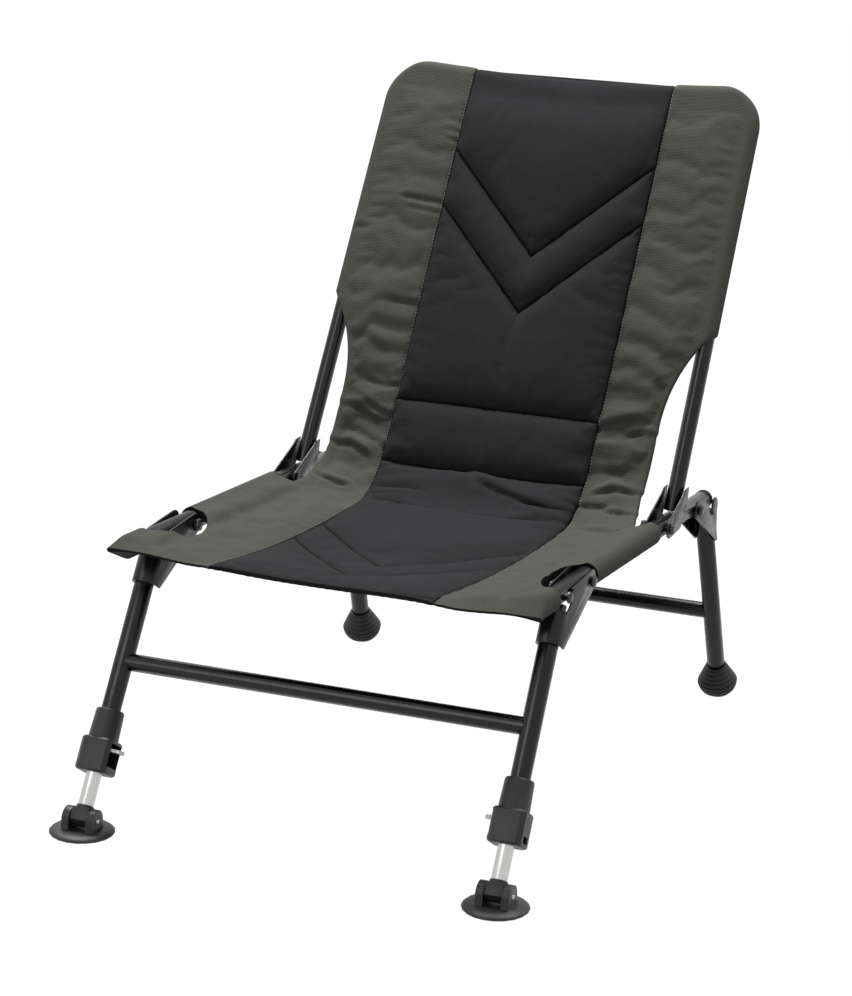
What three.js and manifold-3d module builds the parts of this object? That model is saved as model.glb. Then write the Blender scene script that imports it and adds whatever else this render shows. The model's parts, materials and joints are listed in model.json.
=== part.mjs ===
// Low folding chair for the river bank: two seat rails carry a padded sling, a folding backrest and
// two folding leg frames. The front legs telescope, lock with a tilting plate and end in mud feet.
// Millimetres, +Z up, the chair looks towards -Y and +X is its left hand.

import * as THREE from "three";
import { mergeVertices } from "three/addons/utils/BufferGeometryUtils.js";
import Module from "manifold-3d";

const wasm = await Module();
wasm.setup();

// Sizes of the frame tubes
const railDiameter = 22;
const legDiameter = 22;
const backDiameter = 19.4;
const crossbarDiameter = 19.6;
const tubeWall = 1.5;

// Where the seat rails lie. Places along a rail are counted from the backrest hinge, rearwards.
const railHalfSpacing = 238.4;
const railFrontEnd = -414;
const railRearEnd = 174;
const hingeHeight = 283;
const railFallDegrees = 2.3;
const frontPivotAt = -283;
const frontStopAt = -362;
const frontLegAt = -349.7;
const rearPivotAt = 116;
const rearLegAt = 175.6;

// Leg frames
const frontLeanDegrees = 30.7;
const frontSplayDegrees = 0.55;
const frontCrossbarHeight = 170;
const rearLeanDegrees = 19.6;
const rearSplayDegrees = 1.3;
const rearCrossbarHeight = 119;
const frontTubeTop = 13;
const rearTubeTop = 20;

// Backrest frame, lengths along its side tubes from the rail upwards
const backLeanDegrees = 31.06;
const backBaseAt = 41.7;
const backBarLength = 544;
const backBarDip = 7;
const backCornerRadius = 42;
const backToeIn = 4.5;
const backEndGap = 2;

// Pressed hinge plates
const sheet = 2;
const plateSlack = 1.2;
const platePivotRadius = 13;
const backPivotRadius = 11;
const rearPivotRadius = 11.5;
const frontWebTop = 24;
const frontWebLow = 58;
const rearWebLow = 58;
const rearEarRadius = 10.5;
const rearEarDrop = 10;
const stopNotchRadius = 17;

// Bolts and nuts
const boltRadius = 4;
const boltHeadRadius = 6.5;
const boltHeadHeight = 4;
const nutAcrossFlats = 13;
const nutHeight = 6;
const boltSlack = 0.9;

// Telescopic front leg, heights along the leg from the floor
const collarTop = 141;
const blockTop = 108;
const blockLow = 70;
const collarDiameter = 32;
const blockWidth = 38;
const blockDepth = 34.5;
const blockChamfer = 5;
const blockWall = 4;
const innerLegDiameter = 17.5;
const innerLegWall = 1.2;
const innerLegLength = 240;
const ferruleLow = 28;
const ferruleTop = 33;
const lockPlateHeight = 96.5;
const lockPlateThickness = 3.6;
const lockTabReach = 10;
const springWire = 1.6;
const springCurls = 6;

// Mud feet
const pinHeightOnLeg = 18;
const pinRadius = 3;
const discDiameter = 72.5;
const discThickness = 6;
const earRadius = 13;
const earThickness = 8.5;
const tongueThickness = 19.5;
const tongueRadius = 8.6;
const tongueReach = 11.3;

// Rubber feet and end plugs
const rubberFootDiameter = 50;
const rubberFootTop = 44;
const rubberFootWaist = 21;
const rubberFootNeck = 25;
const rubberRidges = 7;
const ridgeDepth = 1;
const plugInsert = 16;
const plugLength = 10;
const plugRim = 1.2;

// Cover: cloth, padding and the places where it is sewn
const clothThickness = 2.6;
const sidePanelThickness = 4.5;
const padThickness = 7;
const padCrown = 5;
const seamHalfSpacing = 131;
const seatFrontEdge = -443;
const seatRearEdge = -36;
const seatSagFront = 6;
const seatSagMiddle = 25;
const seatSagRear = 20;
const cutoutFront = -384;
const cutoutRear = -257;
const cutoutInset = 24.4;
const cutoutCorner = 22;
const sleeveTaper = 46;
const sleeveEndLength = 23;
const sleeveEndDrop = 10.5;
const seatFirstChevron = -352;
const seatSecondChevron = -270;
const seatChevronRise = 136;
const waistInset = 24;
const backLowEdge = 75;
const backLowInset = 35;
const pocketLowEdge = 236;
const backCoverFront = 12.5;
const backFirstBar = 105;
const backFirstChevron = 231;
const backSecondChevron = 306;
const backChevronRise = 132;
const hemRadius = 2.4;

// Running and joining gaps
const gap = 0.3;
const slideGap = 0.5;
const overrun = 10;

const tubeSides = 20;
const roundSides = 16;
const boltSides = 10;
const backSides = 14;
const cornerSteps = 6;
const barSteps = 3;
const rad = THREE.MathUtils.degToRad;
const sides = [
  { name: "left", sign: -1 },
  { name: "right", sign: 1 },
];

// Materials, one for each mesh so that a copy can be recoloured
const finishes = {
  blackPaint: { color: 0x17181a, roughness: 0.32, metalness: 0.35 },
  plateSteel: { color: 0x3d3e42, roughness: 0.42, metalness: 0.6 },
  darkBolt: { color: 0x26272b, roughness: 0.4, metalness: 0.8 },
  aluminium: { color: 0xc9c9c6, roughness: 0.34, metalness: 0.95 },
  zincSteel: { color: 0x9c9c96, roughness: 0.4, metalness: 0.9 },
  greyPlastic: { color: 0x37383b, roughness: 0.6, metalness: 0 },
  rubber: { color: 0x2c2d30, roughness: 0.75, metalness: 0 },
  cloth: { color: 0x3f4038, roughness: 0.95, metalness: 0 },
};

function mesh(name, geometry, finish) {
  geometry.computeVertexNormals();
  const made = new THREE.Mesh(geometry, new THREE.MeshStandardMaterial(finishes[finish]));
  made.name = name;
  return made;
}

// Booleans: a closed geometry becomes a solid, and the result becomes a geometry again
function toSolid(geometry) {
  const flat = geometry.index ? geometry.toNonIndexed() : geometry;
  const bare = new THREE.BufferGeometry().setAttribute("position", flat.getAttribute("position"));
  const merged = mergeVertices(bare, 1e-4);
  return new wasm.Manifold(
    new wasm.Mesh({
      numProp: 3,
      vertProperties: merged.attributes.position.array,
      triVerts: new Uint32Array(merged.index.array),
    }),
  );
}

function toGeometry(solid) {
  const { vertProperties, triVerts } = solid.getMesh();
  return new THREE.BufferGeometry()
    .setAttribute("position", new THREE.BufferAttribute(vertProperties, 3))
    .setIndex(new THREE.BufferAttribute(triVerts, 1));
}

function join(first, ...rest) {
  return toGeometry(rest.reduce((whole, next) => whole.add(toSolid(next)), toSolid(first)));
}

function cut(body, ...tools) {
  return toGeometry(tools.reduce((left, tool) => left.subtract(toSolid(tool)), toSolid(body)));
}

// A round bar or an open pipe along Z, between two heights
function bar(radius, low, high, count = roundSides) {
  return new THREE.CylinderGeometry(radius, radius, high - low, count)
    .rotateX(Math.PI / 2)
    .translate(0, 0, (low + high) / 2);
}

function pipe(radius, bore, low, high) {
  const ring = new THREE.Shape().absarc(0, 0, radius, 0, 2 * Math.PI);
  ring.holes.push(new THREE.Path().absarc(0, 0, bore, 0, 2 * Math.PI, true));
  const depth = high - low;
  const shape = { depth, bevelEnabled: false, curveSegments: tubeSides / 2 };
  return new THREE.ExtrudeGeometry(ring, shape).translate(0, 0, low);
}

// The same along X, through a point of the YZ plane
function cross(radius, halfLength, y, z) {
  return bar(radius, -halfLength, halfLength, boltSides).rotateY(Math.PI / 2).translate(0, y, z);
}

function block(low, high) {
  const size = new THREE.Vector3().subVectors(high, low);
  const middle = new THREE.Vector3().addVectors(low, high).multiplyScalar(0.5);
  return new THREE.BoxGeometry(size.x, size.y, size.z).translate(middle.x, middle.y, middle.z);
}

// A flat outline drawn in Y and Z, standing as a plate of one thickness from x outwards
const acrossX = new THREE.Matrix4().makeBasis(
  new THREE.Vector3(0, 1, 0),
  new THREE.Vector3(0, 0, 1),
  new THREE.Vector3(1, 0, 0),
);

function plate(outline, x, thickness, segments = 8) {
  const shape = { depth: thickness, bevelEnabled: false, curveSegments: segments };
  return new THREE.ExtrudeGeometry(outline, shape).applyMatrix4(acrossX).translate(x, 0, 0);
}

// A profile of [radius, height] pairs turned about Z
function turned(profile, count = roundSides) {
  const points = profile.map(([radius, height]) => new THREE.Vector2(radius, height));
  return new THREE.LatheGeometry(points, count).rotateX(Math.PI / 2);
}

// Frame of the chair: places on the rail axes and the groups that stand on them
const railFall = rad(railFallDegrees);
const frontLean = rad(frontLeanDegrees);
const rearLean = rad(rearLeanDegrees);
const backLean = rad(backLeanDegrees);
const plateInner = railDiameter / 2 + plateSlack;
const plateOuter = plateInner + sheet;

function onRail(sign, along) {
  const y = along * Math.cos(railFall);
  return new THREE.Vector3(sign * railHalfSpacing, y, hingeHeight - along * Math.sin(railFall));
}

const chair = new THREE.Group();
const seatFrame = new THREE.Group();
seatFrame.position.z = hingeHeight;
seatFrame.rotation.x = -railFall;
chair.add(seatFrame);

// A leg group hangs from its rail point: its Z axis runs up the leg, its X axis out of the rail
function legGroup(sign, along, lean, splay) {
  const group = new THREE.Group();
  group.position.copy(onRail(sign, along));
  group.rotation.set(lean, -sign * splay, 0, "XYZ");
  chair.add(group);
  group.updateMatrixWorld(true);
  return group;
}

// Length of a leg from its rail point to the floor
function legLength(along, lean, splay) {
  return onRail(0, along).z / Math.cos(lean) / Math.cos(splay);
}

// A tool that is drawn in the chair's frame, brought into the frame of one of its groups
function inside(group, geometry) {
  return geometry.applyMatrix4(group.matrixWorld.clone().invert());
}

// A pivot hole through a side of the frame, in the frame of a group
function pivotHole(group, sign, along, radius) {
  const at = onRail(sign, along);
  return inside(group, cross(radius, plateOuter + overrun, at.y, at.z).translate(at.x, 0, 0));
}

// Room round a rail for the coped top of a leg, in the frame of the leg
function railClearance(group, sign) {
  const room = bar(railDiameter / 2 + plateSlack / 2, railFrontEnd, railRearEnd, tubeSides);
  room.rotateX(-Math.PI / 2 - railFall).translate(sign * railHalfSpacing, 0, hingeHeight);
  return inside(group, room);
}

// Seat rails with their bolt holes, end plugs and bolts
const boltHole = boltRadius + gap;
const railBore = railDiameter / 2 - tubeWall;

function railTube() {
  const tube = pipe(railDiameter / 2, railBore, railFrontEnd, railRearEnd).rotateX(-Math.PI / 2);
  const holes = [frontStopAt, frontPivotAt, 0, rearPivotAt].map((at) =>
    cross(boltHole, railDiameter, at, 0),
  );
  return cut(tube, ...holes);
}

// A ridged plug that closes an open tube end, its rim at height zero and its insert below
function endPlug(ridges, length) {
  const rim = railDiameter / 2 + (ridges ? plugRim / 2 : 0);
  const profile = [
    [0, -plugInsert],
    [railBore - gap, -plugInsert],
    [railBore - gap, gap],
    [rim, gap],
  ];
  for (let i = 0; i < ridges; i++) {
    const pitch = (length - 2 * plugRim) / ridges;
    const foot = gap + i * pitch;
    profile.push([rim, foot + pitch / 2]);
    profile.push([rim - ridgeDepth, foot + (pitch * 2) / 3], [rim - ridgeDepth, foot + pitch]);
  }
  profile.push([rim - ridgeDepth - plugRim, length], [0, length]);
  return turned(profile);
}

// A bolt along X with a domed head on its far side, threaded into a nut on its near side
function bolt(grip, tail) {
  const head = grip + boltSlack;
  const profile = [
    [0, -tail],
    [boltRadius, -tail],
    [boltRadius, head],
    [boltHeadRadius, head],
    [boltHeadRadius, head + boltHeadHeight / 2],
    [boltHeadRadius * 0.66, head + boltHeadHeight],
    [0, head + boltHeadHeight],
  ];
  return turned(profile, boltSides).rotateY(Math.PI / 2);
}

function hexNut(grip, height) {
  const corner = nutAcrossFlats / Math.sqrt(3);
  const outline = new THREE.Shape();
  for (let i = 0; i < 6; i++) {
    const turn = (i * Math.PI) / 3;
    outline.lineTo(corner * Math.cos(turn), corner * Math.sin(turn));
  }
  outline.curves.shift();
  outline.currentPoint.copy(outline.curves[outline.curves.length - 1].v2);
  outline.closePath();
  outline.holes.push(new THREE.Path().absarc(0, 0, boltRadius + gap, 0, 2 * Math.PI, true));
  return plate(outline, -grip - boltSlack - height, height, 6);
}

const boltGrip = plateOuter;
const boltTail = boltGrip + boltSlack + nutHeight + sheet / 2;
const boltPlaces = {
  front_stop: frontStopAt,
  front_pivot: frontPivotAt,
  back_pivot: 0,
  rear_pivot: rearPivotAt,
};

for (const { name, sign } of sides) {
  const rail = mesh(`rail_${name}`, railTube(), "blackPaint");
  rail.position.x = sign * railHalfSpacing;
  seatFrame.add(rail);

  const rearPlug = mesh(`rail_end_cap_${name}`, endPlug(2, plugLength), "rubber");
  rearPlug.position.set(sign * railHalfSpacing, railRearEnd, 0);
  rearPlug.rotation.x = -Math.PI / 2;
  const frontPlug = mesh(`rail_front_plug_${name}`, endPlug(0, plugLength / 2), "rubber");
  frontPlug.position.set(sign * railHalfSpacing, railFrontEnd, 0);
  frontPlug.rotation.x = Math.PI / 2;
  seatFrame.add(rearPlug, frontPlug);

  for (const [place, at] of Object.entries(boltPlaces)) {
    const set = new THREE.Group();
    set.position.set(sign * railHalfSpacing, at, 0);
    set.rotation.z = sign > 0 ? 0 : Math.PI;
    set.add(mesh(`${place}_bolt_${name}`, bolt(boltGrip, boltTail), "darkBolt"));
    set.add(mesh(`${place}_nut_${name}`, hexNut(boltGrip, nutHeight), "darkBolt"));
    seatFrame.add(set);
  }
}

// Channel bracket of a leg: two cheeks of one outline, joined by a half round web that seats the leg
function channelBracket(cheek, webSide, webLow, webHigh) {
  const start = webSide > 0 ? 0 : Math.PI;
  const half = new THREE.Shape().absarc(0, 0, plateOuter, start, start + Math.PI);
  half.absarc(0, 0, legDiameter / 2 + gap, start + Math.PI, start, true);
  half.closePath();
  const depth = webLow - webHigh;
  const shape = { depth, bevelEnabled: false, curveSegments: 7 };
  const web = new THREE.ExtrudeGeometry(half, shape).translate(0, 0, -webLow);
  return join(plate(cheek, plateInner, sheet), web, plate(cheek, -plateOuter, sheet));
}

// The angle at which a line from a point touches a circle, on the side given by turn
function tangentAngle(from, centre, radius, turn) {
  const reach = Math.hypot(centre.y - from.y, centre.z - from.z);
  const towards = Math.atan2(from.z - centre.z, from.y - centre.y);
  return towards + turn * Math.acos(radius / reach);
}

function inGroup(group, sign, along) {
  return group.worldToLocal(onRail(sign, along));
}

// Front bracket: the web wraps the front of the leg and the cheeks run back to the pivot, with a
// round notch that stops against the bolt through the rail
function frontBracket(group, sign) {
  const pivot = inGroup(group, sign, frontPivotAt);
  const stop = inGroup(group, sign, frontStopAt);
  const heel = { y: legDiameter / 2 + sheet / 2, z: -frontWebLow };
  const notchStart = frontLean + rad(16);
  const notchEnd = frontLean - rad(84);
  const outline = new THREE.Shape();
  outline.moveTo(-sheet, -frontWebLow);
  outline.lineTo(heel.y, heel.z);
  const low = tangentAngle(heel, pivot, platePivotRadius, 1);
  outline.absarc(pivot.y, pivot.z, platePivotRadius, low, frontLean + Math.PI / 2);
  const notchY = stop.y + stopNotchRadius * Math.cos(notchStart);
  outline.lineTo(notchY, stop.z + stopNotchRadius * Math.sin(notchStart));
  outline.absarc(stop.y, stop.z, stopNotchRadius, notchStart, notchEnd, true);
  outline.lineTo(-sheet, stop.z + stopNotchRadius * Math.sin(notchEnd));
  outline.closePath();
  const bracket = channelBracket(outline, -1, frontWebLow, frontWebTop);
  return cut(bracket, pivotHole(group, sign, frontPivotAt, boltHole));
}

// Rear bracket: the web wraps the rear of the leg, the cheeks run forward to the pivot. Behind a
// notch each cheek ends in a round ear beside the rail end.
function rearBracket(group, sign) {
  const pivot = inGroup(group, sign, rearPivotAt);
  const heel = { y: -sheet, z: -rearWebLow };
  const ear = { y: rearEarRadius * 0.4, z: -rearEarDrop };
  const outline = new THREE.Shape();
  outline.moveTo(0, -rearWebLow);
  outline.absarc(ear.y, ear.z, rearEarRadius, rad(-60), rad(225));
  outline.lineTo(ear.y - rearEarRadius * 1.95, ear.z - sheet);
  outline.lineTo(ear.y - rearEarRadius * 2.2, ear.z + rearEarRadius * 1.6);
  const low = tangentAngle(heel, pivot, rearPivotRadius, -1);
  outline.absarc(pivot.y, pivot.z, rearPivotRadius, Math.PI / 2 - rearLean, low + 2 * Math.PI);
  outline.lineTo(heel.y, heel.z);
  outline.closePath();
  const bracket = channelBracket(outline, 1, rearWebLow, rearTubeTop);
  return cut(bracket, pivotHole(group, sign, rearPivotAt, boltHole));
}

// A crossbar between two legs of one frame, its ends coped to the legs
function crossbar(name, height, legs, along, lean, splay) {
  const drop = (onRail(1, along).z - height) / Math.cos(lean);
  const x = railHalfSpacing + drop * Math.tan(splay);
  const group = new THREE.Group();
  const down = onRail(0, along);
  group.position.set(0, down.y + drop * Math.sin(lean), height);
  chair.add(group);
  group.updateMatrixWorld(true);
  const tube = pipe(crossbarDiameter / 2, crossbarDiameter / 2 - tubeWall, -x, x);
  const cope = legs.map(({ group: leg, length }) => {
    const tool = bar(legDiameter / 2 + gap, -length, 0, tubeSides);
    return inside(group, tool.applyMatrix4(leg.matrixWorld));
  });
  group.add(mesh(name, largestPiece(cut(tube.rotateY(Math.PI / 2), ...cope)), "blackPaint"));
}

// Coping leaves a sliver beyond each leg; the bar itself is the piece between them
function largestPiece(geometry) {
  const pieces = toSolid(geometry).decompose();
  return toGeometry(pieces.sort((a, b) => b.volume() - a.volume())[0]);
}

// Collar of the telescopic leg: a round sleeve over the tube and a bevelled block with the lock
function collar(length, inboard) {
  const at = (height) => height - length;
  const x = blockWidth / 2;
  const y = blockDepth / 2;
  const c = blockChamfer;
  const outline = new THREE.Shape();
  outline.moveTo(-x + c, -y);
  outline.lineTo(x - c, -y).lineTo(x, -y + c).lineTo(x, y - c).lineTo(x - c, y);
  outline.lineTo(-x + c, y).lineTo(-x, y - c).lineTo(-x, -y + c);
  outline.closePath();
  const bevel = blockWall / 2;
  const body = new THREE.ExtrudeGeometry(outline, {
    depth: blockTop - blockLow - 2 * bevel,
    bevelThickness: bevel,
    bevelSize: bevel,
    bevelOffset: -bevel,
    bevelSegments: 1,
  }).translate(0, 0, at(blockLow) + bevel);
  const rim = collarDiameter / 2;
  const sleeve = turned([
    [0, at(blockTop) - bevel],
    [rim + plugRim, at(blockTop) - bevel],
    [rim, at(collarTop) - bevel],
    [rim - bevel / 2, at(collarTop)],
    [0, at(collarTop)],
  ], tubeSides);
  const roomLow = blockLow + blockWall;
  const roomTop = blockTop - blockWall;
  const roomX = x - blockWall;
  const roomY = y - blockWall;
  const room = block(
    new THREE.Vector3(-roomX, -roomY, at(roomLow)),
    new THREE.Vector3(roomX, roomY, at(roomTop)),
  );
  const window = block(
    new THREE.Vector3(0, -roomY + gap, at(roomLow) + blockWall),
    new THREE.Vector3(x + overrun, roomY - gap, at(roomTop) - gap),
  );
  const slot = block(
    new THREE.Vector3(0, -roomY / 2, at(roomLow) + gap),
    new THREE.Vector3(x + overrun, roomY / 2, at(roomLow) + 2 * blockWall),
  );
  if (inboard < 0) window.rotateZ(Math.PI);
  else slot.rotateZ(Math.PI);
  const socket = bar(legDiameter / 2 + gap, at(roomTop) - gap, at(collarTop) + overrun, tubeSides);
  const way = bar(innerLegDiameter / 2 + slideGap, at(blockLow) - overrun, at(roomTop), tubeSides);
  return cut(join(body, sleeve), room, window, slot, socket, way);
}

// Lock plate: it grips the inner leg when it tilts, and its tab stands out of the block
function lockPlate(inboard) {
  const half = blockDepth / 2 - blockWall - slideGap * 2;
  const heel = blockWidth / 2 - blockWall - slideGap * 2;
  const tab = blockWidth / 2 + lockTabReach;
  const outline = new THREE.Shape();
  outline.moveTo(-heel, -half);
  outline.lineTo(heel, -half);
  outline.lineTo(tab - half / 2, -half / 2);
  outline.absarc(tab - half / 2, 0, half / 2, -Math.PI / 2, Math.PI / 2);
  outline.lineTo(heel, half);
  outline.lineTo(-heel, half);
  outline.closePath();
  const bore = innerLegDiameter / 2 + slideGap + gap;
  outline.holes.push(new THREE.Path().absarc(0, 0, bore, 0, 2 * Math.PI, true));
  const shape = { depth: lockPlateThickness, bevelEnabled: false, curveSegments: 8 };
  const made = new THREE.ExtrudeGeometry(outline, shape);
  return made.translate(0, 0, -lockPlateThickness / 2).rotateZ(inboard < 0 ? Math.PI : 0);
}

// Coil spring under the lock plate, one unbroken round wire along a helix about Z
function coil(radius, wire, height, curls) {
  const stepsPerCurl = 8;
  const wireSides = 5;
  const steps = stepsPerCurl * curls;
  const pitch = (height - wire) / curls;
  const centres = [];
  const positions = [];
  const index = [];
  for (let i = 0; i <= steps; i++) {
    const turn = (i / stepsPerCurl) * 2 * Math.PI;
    const z = wire / 2 + (pitch * i) / stepsPerCurl;
    centres.push(new THREE.Vector3(radius * Math.cos(turn), radius * Math.sin(turn), z));
    for (let k = 0; k < wireSides; k++) {
      const around = (k / wireSides) * 2 * Math.PI;
      const r = radius + (wire / 2) * Math.cos(around);
      positions.push(r * Math.cos(turn), r * Math.sin(turn), z + (wire / 2) * Math.sin(around));
    }
  }
  for (let i = 0; i < steps; i++) {
    for (let k = 0; k < wireSides; k++) {
      const a = i * wireSides + k;
      const b = i * wireSides + ((k + 1) % wireSides);
      index.push(a, a + wireSides, b, b, a + wireSides, b + wireSides);
    }
  }
  for (let k = 1; k < wireSides - 1; k++) {
    const last = steps * wireSides;
    index.push(0, k, k + 1, last, last + k + 1, last + k);
  }
  let least = Infinity;
  centres.forEach((a, i) => {
    for (let j = i + stepsPerCurl / 2; j < centres.length; j++)
      least = Math.min(least, a.distanceTo(centres[j]) - wire);
  });
  console.log(`least gap between curls ${least.toFixed(2)} mm`);
  return new THREE.BufferGeometry()
    .setAttribute("position", new THREE.Float32BufferAttribute(positions, 3))
    .setIndex(index);
}

// Knuckle at the foot of the inner leg: an insert, a ferrule and a tongue, round below the pin
function knuckle(length) {
  const at = (height) => height - length;
  const ferrule = innerLegDiameter / 2 + innerLegWall;
  const turnedPart = turned([
    [0, at(ferruleLow)],
    [ferrule, at(ferruleLow)],
    [ferrule, at(ferruleTop) - gap],
    [innerLegDiameter / 2 - innerLegWall - gap, at(ferruleTop) - gap],
    [innerLegDiameter / 2 - innerLegWall - gap, at(ferruleTop) + plugInsert],
    [0, at(ferruleTop) + plugInsert],
  ]);
  const outline = new THREE.Shape();
  const pin = at(pinHeightOnLeg);
  outline.moveTo(-ferrule, at(ferruleLow) + plugRim);
  outline.lineTo(-tongueReach, pin + tongueRadius / 2);
  outline.lineTo(-tongueReach, pin - tongueRadius / 3);
  outline.absarc(0, pin, tongueRadius, rad(232), 2 * Math.PI);
  outline.lineTo(tongueReach, pin + tongueRadius / 3);
  outline.lineTo(tongueReach, pin + tongueRadius / 2);
  outline.lineTo(ferrule, at(ferruleLow) + plugRim);
  outline.closePath();
  const tongue = plate(outline, -tongueThickness / 2, tongueThickness);
  const hole = cross(pinRadius + gap, tongueThickness, 0, pin);
  return cut(join(turnedPart, tongue), hole);
}

// Mud foot about its pin: a round disc with a bevelled rim and two round ears
function mudFoot(pinHeight) {
  const floor = -pinHeight;
  const rim = discDiameter / 2;
  const bevel = discThickness / 4;
  const disc = turned([
    [0, floor],
    [rim - bevel, floor],
    [rim, floor + bevel],
    [rim, floor + discThickness - 2 * bevel],
    [rim - 2 * bevel, floor + discThickness - bevel / 2],
    [rim * 0.6, floor + discThickness],
    [0, floor + discThickness],
  ], tubeSides);
  const foot = earRadius + sheet / 2;
  const outline = new THREE.Shape();
  outline.moveTo(-foot, floor + discThickness / 2);
  outline.lineTo(foot, floor + discThickness / 2);
  outline.absarc(0, 0, earRadius, 0, Math.PI);
  outline.closePath();
  const inner = tongueThickness / 2 + slideGap;
  const right = plate(outline, inner, earThickness);
  const left = plate(outline, -inner - earThickness, earThickness);
  const hole = cross(pinRadius + gap, 2 * (inner + earThickness), 0, 0);
  return cut(join(disc, right, left), hole);
}

function footPin() {
  const half = tongueThickness / 2 + slideGap + earThickness + pinRadius / 3;
  return cross(pinRadius, half, 0, 0);
}

// Front leg frame
const frontSplay = rad(frontSplayDegrees);
const frontLength = legLength(frontLegAt, frontLean, frontSplay);
const frontLegs = sides.map(({ name, sign }) => {
  const group = legGroup(sign, frontLegAt, -frontLean, frontSplay);
  const at = (height) => height - frontLength;
  const inboard = -sign;
  const tube = pipe(legDiameter / 2, legDiameter / 2 - tubeWall, at(blockTop - blockWall), -frontTubeTop);
  group.add(mesh(`front_leg_${name}`, cut(tube, railClearance(group, sign)), "blackPaint"));
  group.add(mesh(`front_bracket_${name}`, frontBracket(group, sign), "plateSteel"));
  group.add(mesh(`leg_collar_${name}`, collar(frontLength, inboard), "greyPlastic"));

  const lock = mesh(`lock_plate_${name}`, lockPlate(inboard), "zincSteel");
  lock.position.z = at(lockPlateHeight);
  const springLow = blockLow + blockWall + gap;
  const springTop = lockPlateHeight - lockPlateThickness / 2 - gap;
  const springRadius = innerLegDiameter / 2 + slideGap + springWire;
  const wound = coil(springRadius, springWire, springTop - springLow, springCurls);
  const spring = mesh(`lock_spring_${name}`, wound, "zincSteel");
  spring.position.z = at(springLow);
  group.add(lock, spring);

  const innerTop = ferruleTop + innerLegLength;
  const innerBore = innerLegDiameter / 2 - innerLegWall;
  const inner = pipe(innerLegDiameter / 2, innerBore, at(ferruleTop), at(innerTop));
  group.add(mesh(`inner_leg_${name}`, inner, "aluminium"));
  group.add(mesh(`foot_knuckle_${name}`, knuckle(frontLength), "greyPlastic"));

  const foot = new THREE.Group();
  foot.position.copy(group.localToWorld(new THREE.Vector3(0, 0, at(pinHeightOnLeg))));
  foot.add(mesh(`mud_foot_${name}`, mudFoot(foot.position.z), "greyPlastic"));
  foot.add(mesh(`foot_pin_${name}`, footPin(), "zincSteel"));
  chair.add(foot);
  return { group, length: frontLength };
});
crossbar("front_crossbar", frontCrossbarHeight, frontLegs, frontLegAt, -frontLean, frontSplay);

// Rear leg frame with rubber feet, a bowl below and a bell above, trimmed level with the floor
function rubberFootRadius(height) {
  const widest = rubberFootDiameter / 2;
  const fall = (rubberFootWaist - height) / (rubberFootWaist + ridgeDepth);
  if (fall > 0) return widest * Math.sqrt(1 - fall * fall);
  const rise = (height - rubberFootWaist) / (rubberFootTop - rubberFootWaist);
  return THREE.MathUtils.lerp(widest, rubberFootNeck / 2, rise ** 1.2);
}

function rubberFoot(length) {
  const at = (height) => height - length;
  const profile = [[0, at(-ridgeDepth)]];
  const pitch = rubberFootTop / rubberRidges;
  for (let i = 0; i < rubberRidges; i++) {
    const places = [i * pitch, (i + 0.2) * pitch, (i + 0.75) * pitch];
    const [groove, low, high] = places.map(rubberFootRadius);
    profile.push([groove - ridgeDepth, at(places[0])]);
    profile.push([low, at(places[1])], [high, at(places[2])]);
  }
  const socket = legDiameter / 2 + gap;
  const floor = rubberFootWaist / 2;
  profile.push([socket + ridgeDepth / 2, at(rubberFootTop)], [socket, at(rubberFootTop)]);
  profile.push([socket, at(floor)], [0, at(floor)]);
  return turned(profile, tubeSides);
}

const rearSplay = rad(rearSplayDegrees);
const rearLength = legLength(rearLegAt, rearLean, rearSplay);
const rearLegs = sides.map(({ name, sign }) => {
  const group = legGroup(sign, rearLegAt, rearLean, rearSplay);
  const low = rubberFootWaist / 2 + gap - rearLength;
  const tube = pipe(legDiameter / 2, legDiameter / 2 - tubeWall, low, -rearTubeTop);
  group.add(mesh(`rear_leg_${name}`, tube, "blackPaint"));
  group.add(mesh(`rear_bracket_${name}`, rearBracket(group, sign), "plateSteel"));
  const reach = railHalfSpacing * 2;
  const ground = inside(group, block(
    new THREE.Vector3(-reach, -reach, -reach),
    new THREE.Vector3(reach, reach, 0),
  ));
  group.add(mesh(`rubber_foot_${name}`, cut(rubberFoot(rearLength), ground), "rubber"));
  return { group, length: rearLength };
});
crossbar("rear_crossbar", rearCrossbarHeight, rearLegs, rearLegAt, rearLean, rearSplay);

// Backrest group: origin on the middle of the hinge plane's base, Z up the side tubes, -Y forwards
const backFrame = new THREE.Group();
backFrame.position.copy(onRail(0, backBaseAt));
backFrame.rotation.x = -backLean;
chair.add(backFrame);
backFrame.updateMatrixWorld(true);

// A path through given points that an extrusion follows with one step from each point to the next
class Stations extends THREE.Curve {
  constructor(points) {
    super();
    this.points = points;
  }
  getPoint(t) {
    const steps = this.points.length - 1;
    const i = Math.min(steps - 1, Math.floor(t * steps));
    return this.points[i].clone().lerp(this.points[i + 1], t * steps - i);
  }
  getPointAt(t) {
    return this.getPoint(t);
  }
  getTangentAt(t) {
    const i = Math.round(t * (this.points.length - 1));
    const last = this.points.length - 1;
    const before = this.points[i].clone().sub(this.points[Math.max(0, i - 1)]).normalize();
    const after = this.points[Math.min(last, i + 1)].clone().sub(this.points[i]).normalize();
    return before.add(after).normalize();
  }
}

// Half the spacing of the backrest's side tubes at a height along them, and the dip of its top bar
const backShoulder = backBarLength - backCornerRadius;
const backBarHalf = railHalfSpacing - backToeIn - backCornerRadius;

function backTubeSpacing(height) {
  return railHalfSpacing - (backToeIn * Math.min(height, backShoulder)) / backShoulder;
}

function barDip(x) {
  const share = Math.min(1, Math.abs(x) / backBarHalf);
  return backBarDip * (1 - share * share);
}

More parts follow.
